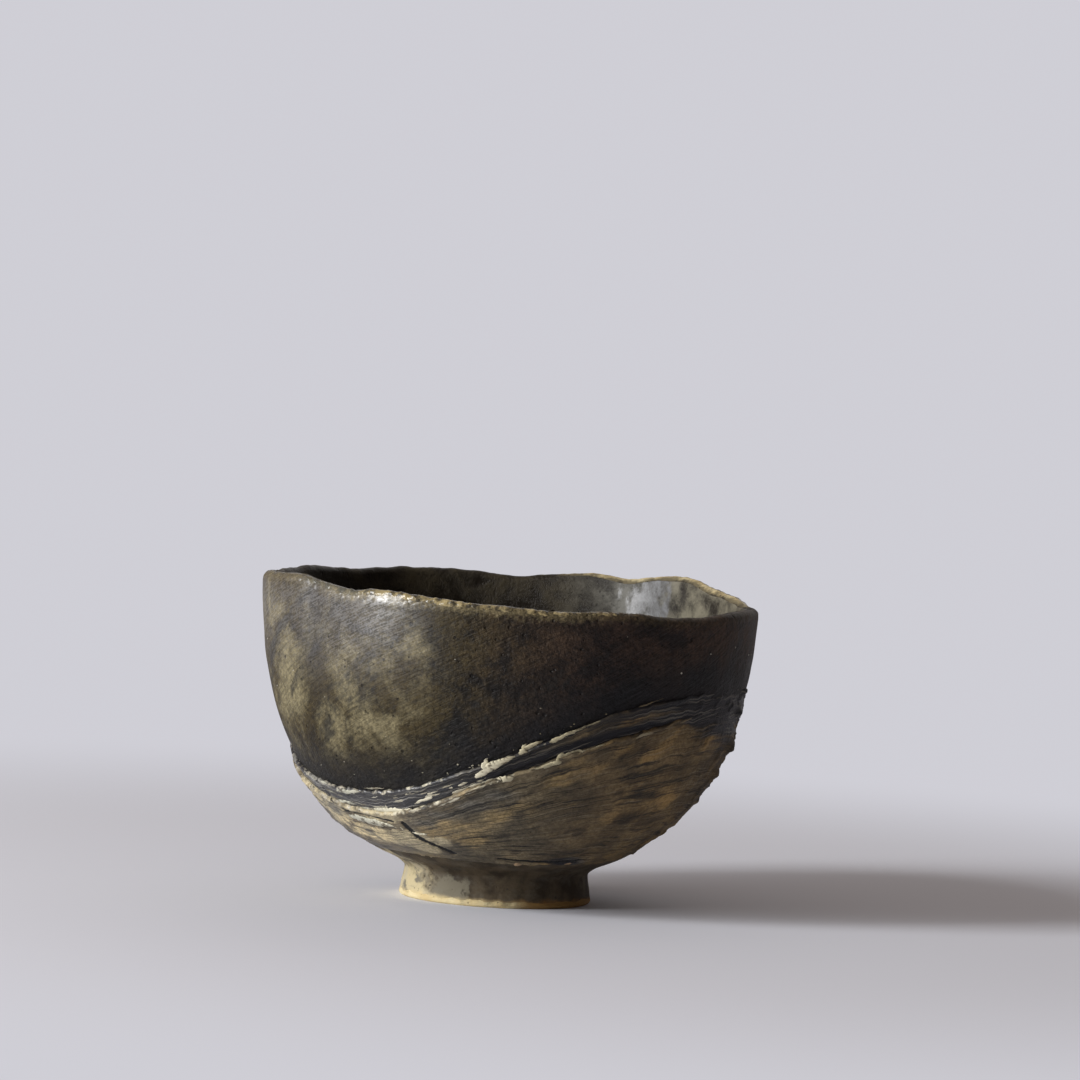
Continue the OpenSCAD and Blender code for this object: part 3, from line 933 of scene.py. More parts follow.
# How far over the lip the glaze runs: 0 stops at its outer shoulder, and 1 a little past its top
over_shares = [0.6, 0.4, 0.3, 0.3, 0.3, 0.4, 0.6, 0.8, 0.8, 0.8, 0.8, 0.75,
               0.75, 0.7, 0.65, 0.6, 0.6, 0.6, 0.6, 0.7, 0.8, 0.85, 0.85, 0.8]
lumpy_shares = [0.4, 0.5, 0.6, 0.6, 0.6, 0.5, 0.4, 0.3, 0.3, 0.3, 0.3, 0.4,
                0.6, 0.8, 0.9, 1, 1, 1, 0.9, 0.7, 0.5, 0.3, 0.3, 0.3]
# Places where the glaze is thin and the clay shows through: degrees, millimetres up, and a reach in each
mist_places = [(206, 34, 7, 5), (230, 31, 6, 6), (249, 38, 6, 2.5), (226, 26, 6, 2.4), (204, 28, 6, 3)]

glaze_low = wall.slip_edge - 1.4 * MM
shown_z = glaze_low + spaced(0, 1, glaze_rows) * (wall.shoulder - glaze_low)
reached = (wall.around(over_shares) + 0.12 * wall.wander(14, 7.0)).clip(0.1, 1) * 2
bend = spaced(0, 1, lip_rows + 1)[1:] * reached
glaze_rings = np.concatenate([
    wall.outer(shown_z, glaze_coat),
    wall.over_lip(bend, glaze_coat * spaced(1, 0.1, lip_rows)),
    wall.over_lip(bend[[-1, lip_rows // 2]], tuck),
    wall.outer(shown_z[[-1, glaze_rows // 2, 0]], tuck),
])
glaze_z = glaze_rings[:, :, 2]
on_wall = np.arange(len(glaze_z))[:, None] < glaze_rows
near_lip = np.clip((glaze_z - wall.shoulder) / (1.2 * MM) + 1, 0, 1) ** 2
wall_coat = skin(
    "wall_coat", glaze_rings, dark_glaze,
    shown=np.where(on_wall, np.clip((wall.shoulder - glaze_z) / (2 * MM), 0, 1), 0),
    above_slip=(glaze_z - wall.slip_edge) / MM,
    below_lip=(wall.shoulder - glaze_z) / MM,
    crusted=wall.around(crusted_shares),
    misted=wall.near(glaze_z, mist_places),
    fullness=wall.around(lumpy_shares) * near_lip,
    crease=wall.crease * np.clip((glaze_z - 24 * MM) / (14 * MM), 0, 1),
)
shaped(wall_coat, dents, dent_depth=0.18 * MM, dent_size=7 * MM, seed=3, material=dark_glaze)
shaped(
    wall_coat, lumps,
    lump_size=0.9 * MM, lump_height=0.3 * MM, sunken=0.95, seed=6, material=dark_glaze,
)
settle(wall_coat, "wall_glaze", "wall_glaze")

# %% Glaze the well
well_rows, well_back = 110, 12
film = 0.03 * MM
# How far the well's glaze climbs onto the lip: 0 stops at its inner shoulder, and 1 at the top
inner_shares = [0.6, 0.3, 0.15, 0.1, 0.15, 0.4, 0.8, 1, 1, 1, 1, 1,
                1, 0.9, 0.9, 0.8, 0.8, 0.8, 0.8, 0.8, 0.9, 1, 1, 0.8]

hidden_z = spaced(0.012, 1, well_back) ** 1.7 * (wall.shoulder - well_bottom) + well_bottom
shown_z = spaced(1, 0.012, well_rows) ** 1.7 * (wall.shoulder - well_bottom) + well_bottom
climb = (wall.around(inner_shares) + 0.12 * wall.wander(9, 11.0)).clip(0.05, 1)
reached = math.pi - climb * math.pi / 2
bend = spaced(0, 1, lip_rows)[:-1] * (math.pi - reached) + reached
deep = np.clip((wall.shoulder - shown_z) / (3 * MM), 0, 1)
well_rings = np.concatenate([
    wall.inner(hidden_z, tuck), wall.over_lip(bend[[lip_rows // 2, 0]], tuck),
    wall.over_lip(bend, film), wall.inner(shown_z, film + (glaze_coat - film) * deep),
])
well_coat = skin(
    "well_coat", well_rings, well_dark,
    poles=[(0, 0, well_bottom + tuck), (0, 0, well_bottom + glaze_coat)],
    shown=np.concatenate([np.zeros((len(well_rings) - well_rows, wall.columns)), deep]),
)
shaped(well_coat, dents, dent_depth=0.16 * MM, dent_size=9 * MM, seed=5, material=well_dark)
settle(well_coat, "well_glaze", "well_glaze")

# %% [markdown]
# ## The brushed slip
# Two laps of slip were dragged round the lower wall in one rising sweep. The bristles left fine ridges that
# lie close together on the left and fan out to the right, along lines that run from level at the foot to
# the lap's own edge. So the rule stretches noise along those lines and lifts the skin by it. Tool marks,
# and a cut painted as the hem's shadow, are pressed in where the points say so, and the coat crumbles most
# where it ends in the shade on the right.

# %% The rule for bristle ridges
bristles, shape, ridge_height, crumb_height, cut_depth, heap_height, lines, seed, material = new_rule(
    "Bristle ridges", ridge_height=0.2 * MM, crumb_height=0.3 * MM, cut_depth=0.35 * MM,
    heap_height=0.5 * MM, lines=14.0, seed=2, material=None
)
spot = place(bristles, "GeometryNodeInputPosition")
x, y, _ = parts(spot)
out = from_axis(x, y)
stroke = carried(bristles, "stroke")
waver = cloud(point(x / out, y / out, stroke), 2.6) - 0.5
line = (stroke + waver * 0.09) * lines + seed * 7.3
ridge = cloud(point(x / out * 2.5, y / out * 2.5, line), 1.0, 2, 0.55) - 0.5
ridge = (ridge.rule("ABSOLUTE") * 3.4).flipped()
crumbled = fade(cloud(spot, 420.0, 4, 0.6), 0.52, 0.72) * carried(bristles, "rough")
rise = (fade(ridge, 0.0, 1.0) - 0.5) * ridge_height + crumbled * crumb_height
pressed, heaped = carried(bristles, "cut") * cut_depth, carried(bristles, "heaped") * heap_height
rise = rise * carried(bristles, "shown") - pressed + heaped
end_rule(bristles, raised(shape, rise), material)

# %% Where the slip is pale, stained or heaped
# Places on the slip are given as degrees round the cup and millimetres up it, with a reach in each.
ochre_places = [
    (261, 12.9, 6, 1.1), (270, 15.1, 5, 1.3), (276, 17, 4, 1.2), (246, 12, 5, 1.5),
    (262, 11.2, 10, 1.0), (284, 20.8, 5, 1.0), (293, 22.7, 5, 1.3), (303, 25, 6, 1.3),
    (324, 17.8, 4, 1.8), (331, 26, 6, 3), (253, 13.3, 3, 0.8), (15, 20, 10, 4),
    (60, 14, 12, 3), (110, 22, 9, 3), (150, 15, 10, 3),
]
pale_places = [
    (203, 13.5, 10, 3), (222, 10.6, 15, 1.6), (238, 10.2, 8, 1.2), (195, 15.5, 8, 2.5),
    (232, 13.2, 10, 0.7), (248, 10.0, 4, 0.6), (226, 13.9, 14, 0.5), (241, 10.9, 4, 0.9),
    (250, 10.8, 4, 0.7), (243, 8.8, 6, 0.7),
]
# Painted sheen on bristle lines, dark patches, heaps of slip, and the upper lap's wash, partly painted
# shade
silver_places = [(246, 13.2, 5, 0.6), (252, 14.6, 6, 0.6), (262, 16.4, 6, 0.9), (270, 18.2, 5, 0.8)]
shade_places = [
    (296, 13.1, 4, 0.9), (309, 15.1, 5, 1.2), (320, 14.2, 7, 1.4), (304, 19, 2.5, 0.7),
    (310, 19.2, 2, 0.6), (277, 9.6, 2, 0.5), (346, 22, 8, 5),
]
heap_places = [(349, 32.7, 1.8, 0.8), (347.5, 29.6, 1.6, 0.6), (349, 24.8, 3, 1.0), (347, 20.9, 2.5, 1.0)]
wash_and_shade_places = [(340, 29, 14, 5), (325, 30, 8, 2.5), (100, 25, 30, 5), (10, 29, 16, 4), (300, 8, 14, 1.2)]
print(len(ochre_places), "ochre places,", len(pale_places), "pale places,", len(heap_places), "heaps")

# %% Where the laps' edges differ
# How far the edges are left cream, and how thick the coat is at its hem
cream_shares = [0.1, 0.1, 0.1, 0.1, 0.15, 0.2, 0.2, 0.2, 0.25, 0.3, 0.4, 0.45,
                0.5, 0.52, 0.54, 0.55, 0.52, 0.5, 0.45, 0.4, 0.3, 0.15, 0.05, 0.05]
hem_shares = [0.3, 0.3, 0.3, 0.3, 0.3, 0.3, 0.3, 0.3, 0.3, 0.3, 0.2, 0.2,
              0.1, 0.1, 0.1, 0.1, 0.1, 0.3, 0.6, 0.7, 0.6, 0.4, 0.3, 0.3]
# How sharply the laps end, how much they crumble, and how much wash lies between their edges
step_shares = [0.1, 0.2, 0.4, 0.5, 0.5, 0.5, 0.5, 0.5, 0.5, 0.6, 0.7, 0.9,
               1, 1, 1, 1, 1, 1, 1, 1, 0.9, 0.5, 0.15, 0.1]
rough_shares = [1, 0.8, 0.5, 0.4, 0.4, 0.4, 0.4, 0.4, 0.4, 0.4, 0.4, 0.6,
                0.6, 0.5, 0.4, 0.3, 0.3, 0.3, 0.3, 0.3, 0.3, 0.4, 0.7, 1]
wash_shares = [0.9, 0.7, 0.5, 0.5, 0.5, 0.6, 0.8, 0.9, 0.9, 0.8, 0.6, 0.85]

wall = Wall(900)
sharp = sum(share > 0.8 for share in step_shares) * 360 // len(step_shares)
print("the laps end sharply over", sharp, "degrees")

# %% Helpers for lines on the slip
# Tool marks, and a cut painted dark as the shadow under the slip's hem (the second): the places that each
# runs through, its half width in millimetres, and its depth
tool_marks_and_hem_shadow = [
    ([(238.5, 12.7), (241.7, 10.7), (252.6, 8.5)], 0.4, 1.0),
    ([(271, 8.2), (290, 8.0), (309, 8.2)], 0.3, 0.8),
    ([(204.3, 17.0), (206.2, 15.4), (212.3, 13.4), (224.4, 13.3), (234.5, 12.8)], 0.22, 0.6),
]
# About how far the slip is from the cup's axis, in millimetres
slip_radius = 28


def nearest_column(turns):
    return np.round(turns / 360 * wall.columns).astype(int) % wall.columns


def on_slip(places, step=0.15 * MM):
    """A line through places on the slip, as columns and heights with even steps."""
    turns, heights = (np.array(values, dtype=float) for values in zip(*places))
    legs = np.hypot(np.diff(np.radians(turns)) * slip_radius * MM, np.diff(heights) * MM)
    run = np.insert(np.cumsum(legs), 0, 0)
    at = np.linspace(0, run[-1], max(4, int(run[-1] / step)))
    turns, heights = np.interp(at, run, turns), np.interp(at, run, heights)
    if len(at) > 24:
        turns, heights = softened(np.stack([turns, heights], axis=1), 4).T
    return nearest_column(turns), heights * MM


def along(column, z, lift):
    """The points of a line on the wall, given by its columns and heights."""
    ring = wall.outer(np.repeat(z[:, None], wall.columns, 1), np.repeat(lift[:, None], wall.columns, 1))
    return ring[np.arange(len(z)), column]


def cuts(z):
    """How deep the marks and the hem's shadow cut go at each point of the rings, measured on the bare wall.
    """
    flat = wall.outer(z, 0 * z).reshape(-1, 3)
    total = np.zeros(len(flat))
    for places, width, depth in tool_marks_and_hem_shadow:
        column, height = on_slip(places)
        line = along(column, height, 0 * height)
        reach = np.ptp(line, axis=0).max() + MM
        close = np.flatnonzero(np.linalg.norm(flat - line.mean(0), axis=1) < reach)
        away = np.min(np.linalg.norm(flat[close, None] - line[None], axis=2), axis=1) / MM
        total[close] = np.maximum(total[close], depth * np.exp(-((away / width) ** 4)))
    return total.reshape(z.shape)


print(len(tool_marks_and_hem_shadow), "tool marks")

# %% Helpers for laps
slip_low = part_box("slip_over_lap")[0].z
under_coat, over_coat = 0.45 * MM, 0.4 * MM
lap_base = 0.1 * MM
lap_coat = under_coat + over_coat - lap_base
edge_roll, roll_reach = 0.2 * MM, 0.4 * MM
thin_out = 4.0 * MM


def climbed(z, edge):
    """The share of the way from the slip's foot to a lap's edge."""
    return np.clip((z - slip_low) / (edge - slip_low), 0, 1)


def coat_at(z, edge, coat):
    """How thick a lap is at each height: thin at its hem, and thinning out again where it ends softly."""
    hem, step = np.clip(wall.around(hem_shares), 0.05, 1), wall.around(step_shares)
    thick = coat * (hem + (1 - hem) * np.clip(climbed(z, edge) * 2.5, 0, 1))
    return thick * (step + (1 - step) * np.clip((edge - z) / thin_out, 0.05, 1))


def rolled(below_edge):
    """How far a lap's edge is rolled up, from 1 at the edge to 0 well below it."""
    return np.exp(-((below_edge / roll_reach) ** 2))


def lap(name, low, edge, base_lift, coat, rows, ragged, washed, **sizes):
    """One brushed coat from low up to its torn edge, with a rolled nose at both ends."""
    edge, step = edge + ragged, wall.around(step_shares)
    shown_z = low + spaced(0, 1, rows) * (edge - low)
    climb = climbed(shown_z, edge)
    thick = coat_at(shown_z, edge, coat) + edge_roll * step * rolled(edge - shown_z)
    nose = spaced(0, math.pi, 7)[1:-1]
    top_z, top_lift = edge + 0.2 * MM * step * np.sin(nose), base_lift + thick[-1] * (1 + np.cos(nose)) / 2
    foot_z, foot_lift = low - 0.15 * MM * np.sin(nose), base_lift + thick[0] * (1 - np.cos(nose)) / 2
    hidden_z = edge + spaced(0, 1, 4) * (low - edge)
    stretches = shown_z, top_z, hidden_z, foot_z
    z = np.concatenate(stretches)
    lift = np.concatenate([base_lift + thick, top_lift, base_lift + 0 * hidden_z, foot_lift])
    below = np.maximum(edge - z, 0) / MM

    def each(*values):
        """One value for each of the four stretches of rings."""
        return np.concatenate([value + 0 * rings for value, rings in zip(values, stretches)])

    piece = skin(
        name, wall.outer(z, lift), brushed_slip,
        stroke=each(climb, 1, 1, 0),
        shown=each(1, 0.3, 0, 0.3),
        rough=wall.around(rough_shares),
        cream=wall.around(cream_shares) * np.exp(-((below / 0.25) ** 2)),
        ochre=wall.near(z, ochre_places),
        pale=wall.near(z, pale_places),
        silver=wall.near(z, silver_places),
        shade=wall.near(z, shade_places),
        heaped=wall.near(z, heap_places) * each(1, 0, 0, 0),
        washed=washed(z),
        cut=cuts(z),
    )
    return shaped(piece, bristles, material=brushed_slip, **sizes)


print("laps of", round(under_coat / MM, 2), "and", round(over_coat / MM, 2), "mm ready to brush")


# %% Brush on the two laps
def under_wash_and_gap_shade(z):
    """The wash pools between the two edges, most on the left; close above the upper lap it is also painted
    shade.
    """
    pooled_and_edge_shade = np.exp(-(((z - wall.lap_edge) / MM / 0.9) ** 2))
    return np.clip(wall.around(wash_shares) + pooled_and_edge_shade, 0, 1)


def over_wash_and_shade(z):
    """On the upper lap it stays in a few places, mostly in the shade on the right, where it is partly
    painted shade.
    """
    return 0.85 * wall.near(z, wash_and_shade_places)


edge_waver = 0.25 * MM
first_lap = lap(
    "first_lap", wall.lap_edge - 1.2 * MM, wall.slip_edge, 0.0, under_coat, 36,
    edge_waver * wall.wander(22, 5.0), under_wash_and_gap_shade,
    ridge_height=0.22 * MM, heap_height=0.7 * MM, lines=22.0, seed=4,
)
settle(first_lap, "under_slip", "slip_under_lap")
slip_hem = slip_low + MM * (0.2 * wall.wander(14, 9.0) + 0.5 * wall.around(hem_shares))
second_lap = lap(
    "second_lap", slip_hem, wall.lap_edge, lap_base, lap_coat, 96,
    edge_waver * wall.wander(22, 8.0), over_wash_and_shade,
    ridge_height=0.14 * MM, heap_height=0.8 * MM, lines=16.0, seed=2,
)
settle(second_lap, "over_slip", "slip_over_lap")

# %% [markdown]
# ## The torn crests
# Where the brush lifted off, the slip tore into pale flakes along both edges. Each is a line on the slip,
# swept with a flattened, ragged section that swells and shrinks: a path and a profile, which is work for
# Geometry Nodes. The flakes on the shown side are placed one by one, and a seeded run follows the edges
# round the back.

# %% The rule for torn crests
# A flake breaks up under the first half width, and from the second on it stays whole
thin_girth, solid_girth = 0.28 * MM, 0.42 * MM

tearing, shape, flatness, raggedness, seed, material = new_rule(
    "Torn crest", flatness=0.45, raggedness=1.0, seed=3, material=None
)
outward = carried(tearing, "outward", "FLOAT_VECTOR")
path = place(tearing, "GeometryNodeMeshToCurve", (shape,))
path = place(tearing, "GeometryNodeSetCurveNormal", {"Curve": path, "Normal": outward}, mode="FREE")
spot = place(tearing, "GeometryNodeInputPosition")
swell = fade(seeded_noise(spot, seed, 420.0, 3.0), 0.3, 0.54)
section = place(tearing, "GeometryNodeCurvePrimitiveCircle", {0: 12, 4: 1.0})
section = place(tearing, "GeometryNodeTransform", {"Geometry": section, "Scale": point(flatness, 1.0, 1.0)})
girth = carried(tearing, "girth")
torn_girth = girth * (swell + 0.12).rule("MAXIMUM", fade(girth, thin_girth, solid_girth))
flake = place(tearing, "GeometryNodeCurveToMesh", {0: path, 1: section, 2: torn_girth, 3: True})
loose = vectors("SUBTRACT", seeded_noise(spot, seed, 1000.0, 4.0, output=1), (0.5, 0.5, 0.5))
lifting = vectors("DOT_PRODUCT", loose, outward, output=1)
flat = vectors("SUBTRACT", loose, sized(outward, lifting * 0.75))
torn = moved(flake, flat, girth.rule("MINIMUM", thin_girth) * raggedness * 2)
end_rule(tearing, place(tearing, "GeometryNodeSetShadeSmooth", (torn,)), material)

# %% Place the flakes that are shown
# Each flake: the places it runs through, in degrees and millimetres, its width in millimetres, and where
# along it the widest place is, from 0 to 1.
flakes = [
    ([(190, 18.3), (193.1, 18.0), (198.8, 17.6), (204.3, 17.0)], 0.65, 0.4),
    ([(206, 16.8), (210.7, 16.8)], 0.6, 0.5),
    ([(213.5, 16.2), (220.5, 16.2), (226.5, 16.6)], 0.85, 0.35),
    ([(227, 16.9), (235.3, 17.3)], 0.25, 0.5),
    ([(237.8, 16.9), (247.7, 17.8), (256.2, 19.4)], 0.3, 0.6),
    ([(255.4, 18.3), (260.5, 19.4), (263, 20.2)], 0.45, 0.3),
    ([(263.4, 20.3), (265.4, 21.3), (267.8, 22.3), (273, 23.8)], 1.3, 0.25),
    ([(265.4, 21.3), (265.7, 22.2), (266.2, 23.1)], 0.75, 0.15),
    ([(274.2, 24.1), (275.9, 24.9), (279.6, 26.0)], 0.8, 0.2),
    ([(275.2, 24.6), (275.5, 25.5)], 0.6, 0.2),
    ([(281.4, 25.9), (282.6, 26.4), (284.6, 26.9), (289.5, 28.3)], 0.66, 0.2),
    ([(288.8, 28.2), (297.3, 29.9), (304.5, 31.5), (309.7, 32.5)], 0.34, 0.3),
    ([(211.5, 14.6), (216.3, 14.5), (220.7, 14.4)], 0.8, 0.4),
    ([(222.3, 14.1), (229.5, 14.05), (240.4, 14.6), (249.2, 15.5)], 0.65, 0.4),
    ([(233.8, 15.1), (233.9, 14.3)], 0.5, 0.7),
    ([(242.9, 15.2), (247.8, 16.4), (253.2, 17.5)], 0.55, 0.6),
    ([(249, 15.5), (254.6, 16.4), (259.5, 17.8), (263.3, 18.8), (268.6, 20.2)], 0.5, 0.5),
    ([(268.8, 20.4), (270.5, 20.6), (273.2, 20.9)], 1.0, 0.6),
    ([(214, 12.8), (222.6, 12.5), (232.3, 12.2), (235.5, 11.9)], 1.3, 0.35),
    ([(236.8, 12.3), (237.4, 11.6)], 0.5, 0.5),
    ([(240.4, 11.6), (243.2, 11.5), (246, 11.5)], 0.7, 0.5),
    ([(276.8, 22.0), (280, 22.5), (284, 23.4)], 0.6, 0.8),
    ([(282.9, 23.0), (284.2, 23.7), (284.9, 24.6)], 0.85, 0.35),
    ([(284.4, 23.8), (288, 24.7), (292, 25.3)], 0.5, 0.2),
    ([(288.8, 24.8), (296.2, 26.1), (302.8, 27.0)], 0.38, 0.3),
    ([(303, 26.9), (305, 27.5), (308.5, 27.8)], 0.65, 0.4),
    ([(308.3, 27.8), (314.3, 28.5)], 0.38, 0.4),
    ([(316.5, 28.9), (321.5, 29.7)], 0.38, 0.4),
    ([(277.6, 7.5), (281, 7.6)], 0.8, 0.4),
    ([(300.6, 7.65), (304, 7.75)], 0.7, 0.5),
]
print(len(flakes), "flakes on the shown side")

# %% Add flakes round the back
back_start, back_end = 375.0, 540
strand_count = 64

chance = np.random.default_rng(12)
for edge in (wall.slip_edge, wall.lap_edge):
    turn = back_start
    while turn < back_end:
        length, drop = chance.uniform(4, 18), chance.uniform(0, 0.4)
        turns = np.linspace(turn, turn + length, 5)
        heights = edge[nearest_column(turns)] / MM - drop
        flakes.append((list(zip(turns, heights)), chance.uniform(0.25, 0.5), chance.uniform(0.2, 0.6)))
        turn += length + chance.uniform(2, 16)
# Thin strands on the left, between the two edges
for _ in range(strand_count):
    turns = chance.uniform(194, 264) + np.linspace(0, chance.uniform(2, 8), 4)
    at, share = nearest_column(turns), chance.uniform(0.05, 1.0)
    heights = (wall.lap_edge[at] + share * (wall.slip_edge[at] - wall.lap_edge[at])) / MM
    flakes.append((list(zip(turns, heights)), chance.uniform(0.16, 0.42), chance.uniform(0.2, 0.6)))
print(len(flakes), "flakes with those round the back and the strands")

# %% Tear the crests
# How far a flake lies above the coats, and how far past its edge each coat still carries one
flake_gap, over_first, over_second = 0.06 * MM, 0.4 * MM, 0.2 * MM

flake_spots, flake_lines, girths, outwards = [], [], [], []
for places, width, widest in flakes:
    at, z = on_slip(places)
    ring_z = np.repeat(z[:, None], wall.columns, 1)
    first = coat_at(ring_z, wall.slip_edge, under_coat)
    first = np.where(ring_z < wall.slip_edge + over_first, first, glaze_coat)
    second = lap_base + coat_at(ring_z, wall.lap_edge, lap_coat)
    second = np.where(ring_z < wall.lap_edge + over_second, second, 0)
    lift = np.maximum(first, second)[np.arange(len(z)), at] + flake_gap
    # Wide flakes ride on the rolled edges
    ridden = np.maximum(rolled(wall.slip_edge[at] - z), rolled(wall.lap_edge[at] - z))
    ridden = ridden * wall.around(step_shares)[at]
    lift += edge_roll * ridden * np.clip((width - 0.4) / 0.4, 0, 1)
    spots = along(at, z, lift)
    outwards += ((along(at, z, lift + MM) - spots) / MM).tolist()
    flake_lines += [(k, k + 1) for k in range(len(flake_spots), len(flake_spots) + len(z) - 1)]
    flake_spots += spots.tolist()
    share = np.linspace(0.02, 0.98, len(z))
    swell = np.minimum(share / widest, (1 - share) / (1 - widest))
    girths += (width / 2 * MM * np.sin(swell * math.pi / 2) ** 0.6).tolist()
flake_mesh = bpy.data.meshes.new("torn_flakes")
flake_mesh.from_pydata(flake_spots, flake_lines, [])
carry(flake_mesh, "girth", girths)
directions = flake_mesh.attributes.new("outward", "FLOAT_VECTOR", "POINT").data
directions.foreach_set("vector", np.array(outwards).ravel())
torn_flakes = piece_of("torn_flakes", flake_mesh)
shaped(torn_flakes, tearing, flatness=0.34, raggedness=1.25, seed=3, material=torn_slip)
settle(torn_flakes, "crest_slip", "slip_crests")

# %% [markdown]
# ## Crumbs and grit
# Brushing flicked crumbs of slip onto the glaze above the edge, and the glaze itself is sown with grains of
# quartz. Both are the same rule: grains scattered over a surface, with a number on the points that says
# where.

# %% The rule for scattered grains
scatter, shape, grains_per_square, grain_size, flatness, seed, material = new_rule(
    "Scattered grains", grains_per_square=1e5, grain_size=0.3 * MM, flatness=0.6, seed=1, material=None
)
inputs = {0: shape, 4: grains_per_square * carried(scatter, "sown"), 6: seed}
sown = place(scatter, "GeometryNodeDistributePointsOnFaces", inputs, distribute_method="RANDOM")
points, _, rotation = outlets(sown)
grain = place(scatter, "GeometryNodeMeshIcoSphere", {0: 0.5, 1: 1})
inputs = {0: (0.3, 0.3, 0.4), 1: (1.2, 0.9, 1.0), 8: seed}
stretch = place(scatter, "FunctionNodeRandomValue", inputs, data_type="FLOAT_VECTOR")
stretch = vectors("MULTIPLY", stretch, point(grain_size, grain_size, grain_size * flatness))
inputs = {0: points, 2: grain, 5: rotation, 6: stretch}
grains = place(scatter, "GeometryNodeInstanceOnPoints", inputs)
grains = place(scatter, "GeometryNodeRealizeInstances", (grains,))
end_rule(scatter, place(scatter, "GeometryNodeSetShadeSmooth", (grains,)), material)

# %% Sow the crumbs and the grit
splash_turn, splash_height = math.radians(265), 0.9


def on_points(mesh, label):
    values = np.empty(len(mesh.vertices), dtype=np.float32)
    mesh.attributes[label].data.foreach_get("value", values)
    return values


def strewn(name, sown, material, **sizes):
    """Grains on the glazed wall, as many as sown says at each of its points."""
    mesh = wall_coat.data.copy()
    carry(mesh, "sown", sown)
    return shaped(piece_of(name, mesh), scatter, material=material, **sizes)


above, shown = on_points(wall_coat.data, "above_slip"), on_points(wall_coat.data, "shown")
spread = np.empty(len(above) * 3, dtype=np.float32)
wall_coat.data.vertices.foreach_get("co", spread)
turned = np.arctan2(spread[1::3], spread[0::3])
splashed = np.clip(np.cos(turned - splash_turn), 0, 1) ** 14 + 0.03
flicked = (shown > 0.5) * (above > 0.2) * np.exp(-np.maximum(above, 0) / splash_height) * splashed
slip_crumbs = strewn(
    "slip_crumbs", flicked, torn_slip,
    grains_per_square=1.2e6, grain_size=0.36 * MM, flatness=0.6, seed=4,
)
settle(slip_crumbs, "crest_slip")
grit = strewn(
    "grit", (shown > 0.9) * (above > 1.5), quartz_grit,
    grains_per_square=1e4, grain_size=0.34 * MM, flatness=0.5, seed=8,
)
settle(grit, "bowl_clay")

# %% [markdown]
# ## The lip's crust
# Glaze drew back from the lip and left a crust of small ochre beads along its outer edge, which run into
# each other. So the crust is one thin ring over the lip's shoulder, raised in lumps by the same rule as the
# glaze's edge.

# %% The crust's finish
crust_glaze, shader, spot = new_finish("crust_glaze", {"Roughness": 0.26, "Specular IOR Level": 0.7})
body = tint(fade(cloud(spot, 0.8, 4, 0.65), 0.4, 0.6), rgb(0.05, 0.042, 0.026), rgb(0.36, 0.285, 0.14))
body = tint(facing(spot, 205, 0.78, 0.95) * 0.8, body, rgb(0.1, 0.098, 0.08))
body, relief = grained(spot, body, 3.0, 0.5)
finish(shader, body, relief, 0.08, 0.6)

# %% Crust the lip
crust_rows = 12
fullness_shares = [0.0, 0.4, 0.5, 0.5, 0.4, 0.2, 0.0, 0.0, 0.0, 0.0, 0.0, 0.1,
                   0.3, 0.3, 0.4, 0.9, 1.0, 0.95, 0.8, 0.6, 0.3, 0.05, 0.0, 0.0]

wall = Wall(1800)
bend = spaced(0.1, 1.5, crust_rows)
hidden_bend = bend[[-1, crust_rows // 2, 0]]
fullness = wall.around(fullness_shares) * np.clip(0.9 + 0.8 * wall.wander(16, 21.0), 0.1, 1)
swelling = np.sin(spaced(0, math.pi, crust_rows))
crust_lift = glaze_coat * swelling * fullness + 0.12 * MM * fullness - 0.05 * MM
crust_rings = np.concatenate([wall.over_lip(bend, crust_lift), wall.over_lip(hidden_bend, -0.2 * MM)])
lip_crust = skin(
    "lip_crust", crust_rings, crust_glaze,
    fullness=np.concatenate([swelling * fullness, np.zeros((len(hidden_bend), wall.columns))]),
)
shaped(
    lip_crust, lumps,
    lump_size=0.95 * MM, lump_height=0.42 * MM, sunken=0.5, seed=6, material=crust_glaze,
)
settle(lip_crust, "bowl_clay")

# %% [markdown]
# ## The foot
# The foot ring was turned, trimmed and luted on with slip, and a thin wash runs down over both from the
# bowl and stops just above the table. The foot's solids are round, so its outline is measured once, along
# one ray after another, and turned into skins. The same rule for dents presses ring and wash, so that they
# stay together.

# %% Turn the foot ring
foot_dents = {"dent_depth": 0.2 * MM, "dent_size": 6 * MM, "seed": 7}
# The levels lie closest together where the ring rounds off at the table
ring_levels = np.concatenate([[0.01, 0.04, 0.09, 0.16, 0.25, 0.36, 0.5], np.linspace(0.7, 5.3, 26)]) * MM


def outside_at(solid, level):
    """Where a level ray from the right first meets a solid, or None."""
    return solid.ray_cast(Vector((beyond, 0, level)), Vector((-1, 0, 0)))[0]


wall = Wall(480)
ring = surface("foot_ring")
ring_outside = np.array([outside_at(ring, level).x for level in ring_levels])
inner_hits = [ring.ray_cast(Vector((0, 0, level)), Vector((1, 0, 0)))[0] for level in ring_levels]
ring_inside = np.array([hit.x for hit in inner_hits])
under_foot = np.linspace(ring_inside[0], ring_outside[0], 6)[1:-1]
ring_radius = np.concatenate([ring_outside, ring_inside[::-1], under_foot])[:, None]
ring_z = np.concatenate([ring_levels, ring_levels[::-1], 0 * under_foot])[:, None]
foot_clay = skin(
    "foot_clay", wall.points(ring_radius + 0 * wall.angle, ring_z), bare_clay,
    shown=np.clip(ring_z / (0.6 * MM), 0, 1),
    # Painted shade: the foot's clay is stained darker towards the side away from the window
    stain=0.35 - 0.35 * np.cos(wall.angle - math.radians(window_side)),
)
shaped(foot_clay, dents, material=bare_clay, **foot_dents)
settle(foot_clay, "foot_clay", "foot_ring")

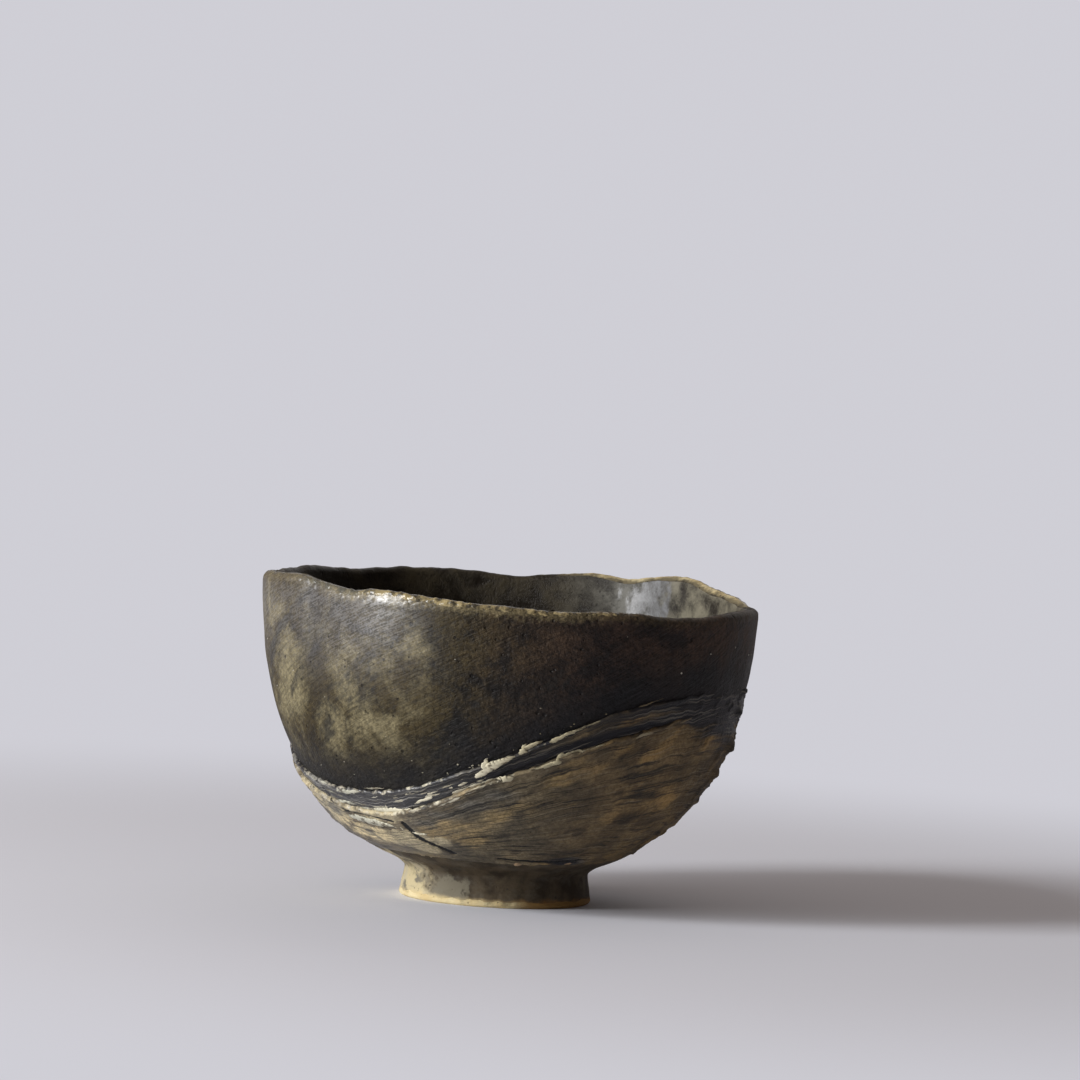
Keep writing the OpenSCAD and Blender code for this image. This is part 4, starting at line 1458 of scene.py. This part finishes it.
# %% Lute it on
work = bmesh.new()
work.from_mesh(solids["luting_beads"].data)
bmesh.ops.remove_doubles(work, verts=work.verts, dist=0.002 * MM)
bmesh.ops.subdivide_edges(work, edges=work.edges, cuts=1, use_grid_fill=True)
luting_mesh = bpy.data.meshes.new("luting_joint")
work.to_mesh(luting_mesh)
work.free()
luting_mesh.shade_smooth()
luting_mesh.materials.append(foot_wash)
carry(luting_mesh, "shown", np.ones(len(luting_mesh.vertices)))
luting_joint = shaped(piece_of("luting_joint", luting_mesh), dents, material=foot_wash, **foot_dents)
settle(luting_joint, "luting_slip", "luting_beads")

# %% Wash the foot
wash_coat, wash_edge, wash_tuck = 0.22 * MM, 0.02 * MM, 0.1 * MM
wash_rows, outline_steps = 80, 300

foot_solids = [ring, surface("luting_beads"), bowl]
levels = np.linspace(0.2, 8.2, 400) * MM
hits = [[outside_at(solid, level) for solid in foot_solids] for level in levels]
outline = np.array([[max(hit.x for hit in found if hit), level] for found, level in zip(hits, levels)])
run = np.insert(np.cumsum(np.linalg.norm(np.diff(outline, axis=0), axis=1)), 0, 0)
even = np.linspace(0, run[-1], outline_steps)
outline = softened(np.stack([np.interp(even, run, outline[:, k]) for k in (0, 1)], axis=1), 4)
heading = np.gradient(outline, axis=0)
heading /= np.linalg.norm(heading, axis=1)[:, None]

# The wash runs up the outer side and back down behind it
wash_low, wash_high = MM * (0.75 + 0.5 * wall.wander(4, 2.0)), even[-1]
there_and_back = np.concatenate([spaced(0, 1, wash_rows), spaced(1, 0, wash_rows)])
wash_run = there_and_back * (wash_high - wash_low) + wash_low
outer_side = np.repeat([[1.0], [0.0]], wash_rows, axis=0)
tucked = np.clip((wash_run - wash_low) / (1.2 * MM), 0, 1)
tucked = tucked * np.clip((wash_high - wash_run) / (1.5 * MM), 0, 1)
lift = outer_side * (wash_coat * tucked + wash_edge) - (1 - outer_side) * wash_tuck
radius, level, way_out, way_up = (np.interp(wash_run, even, values) for values in (*outline.T, *heading.T))
wash_rings = wall.points(radius + lift * way_up, level - lift * way_out)
foot_coat = skin("foot_coat", wash_rings, foot_wash, shown=outer_side)
shaped(foot_coat, dents, material=foot_wash, **foot_dents)
settle(foot_coat, "foot_glaze", "foot_glaze")
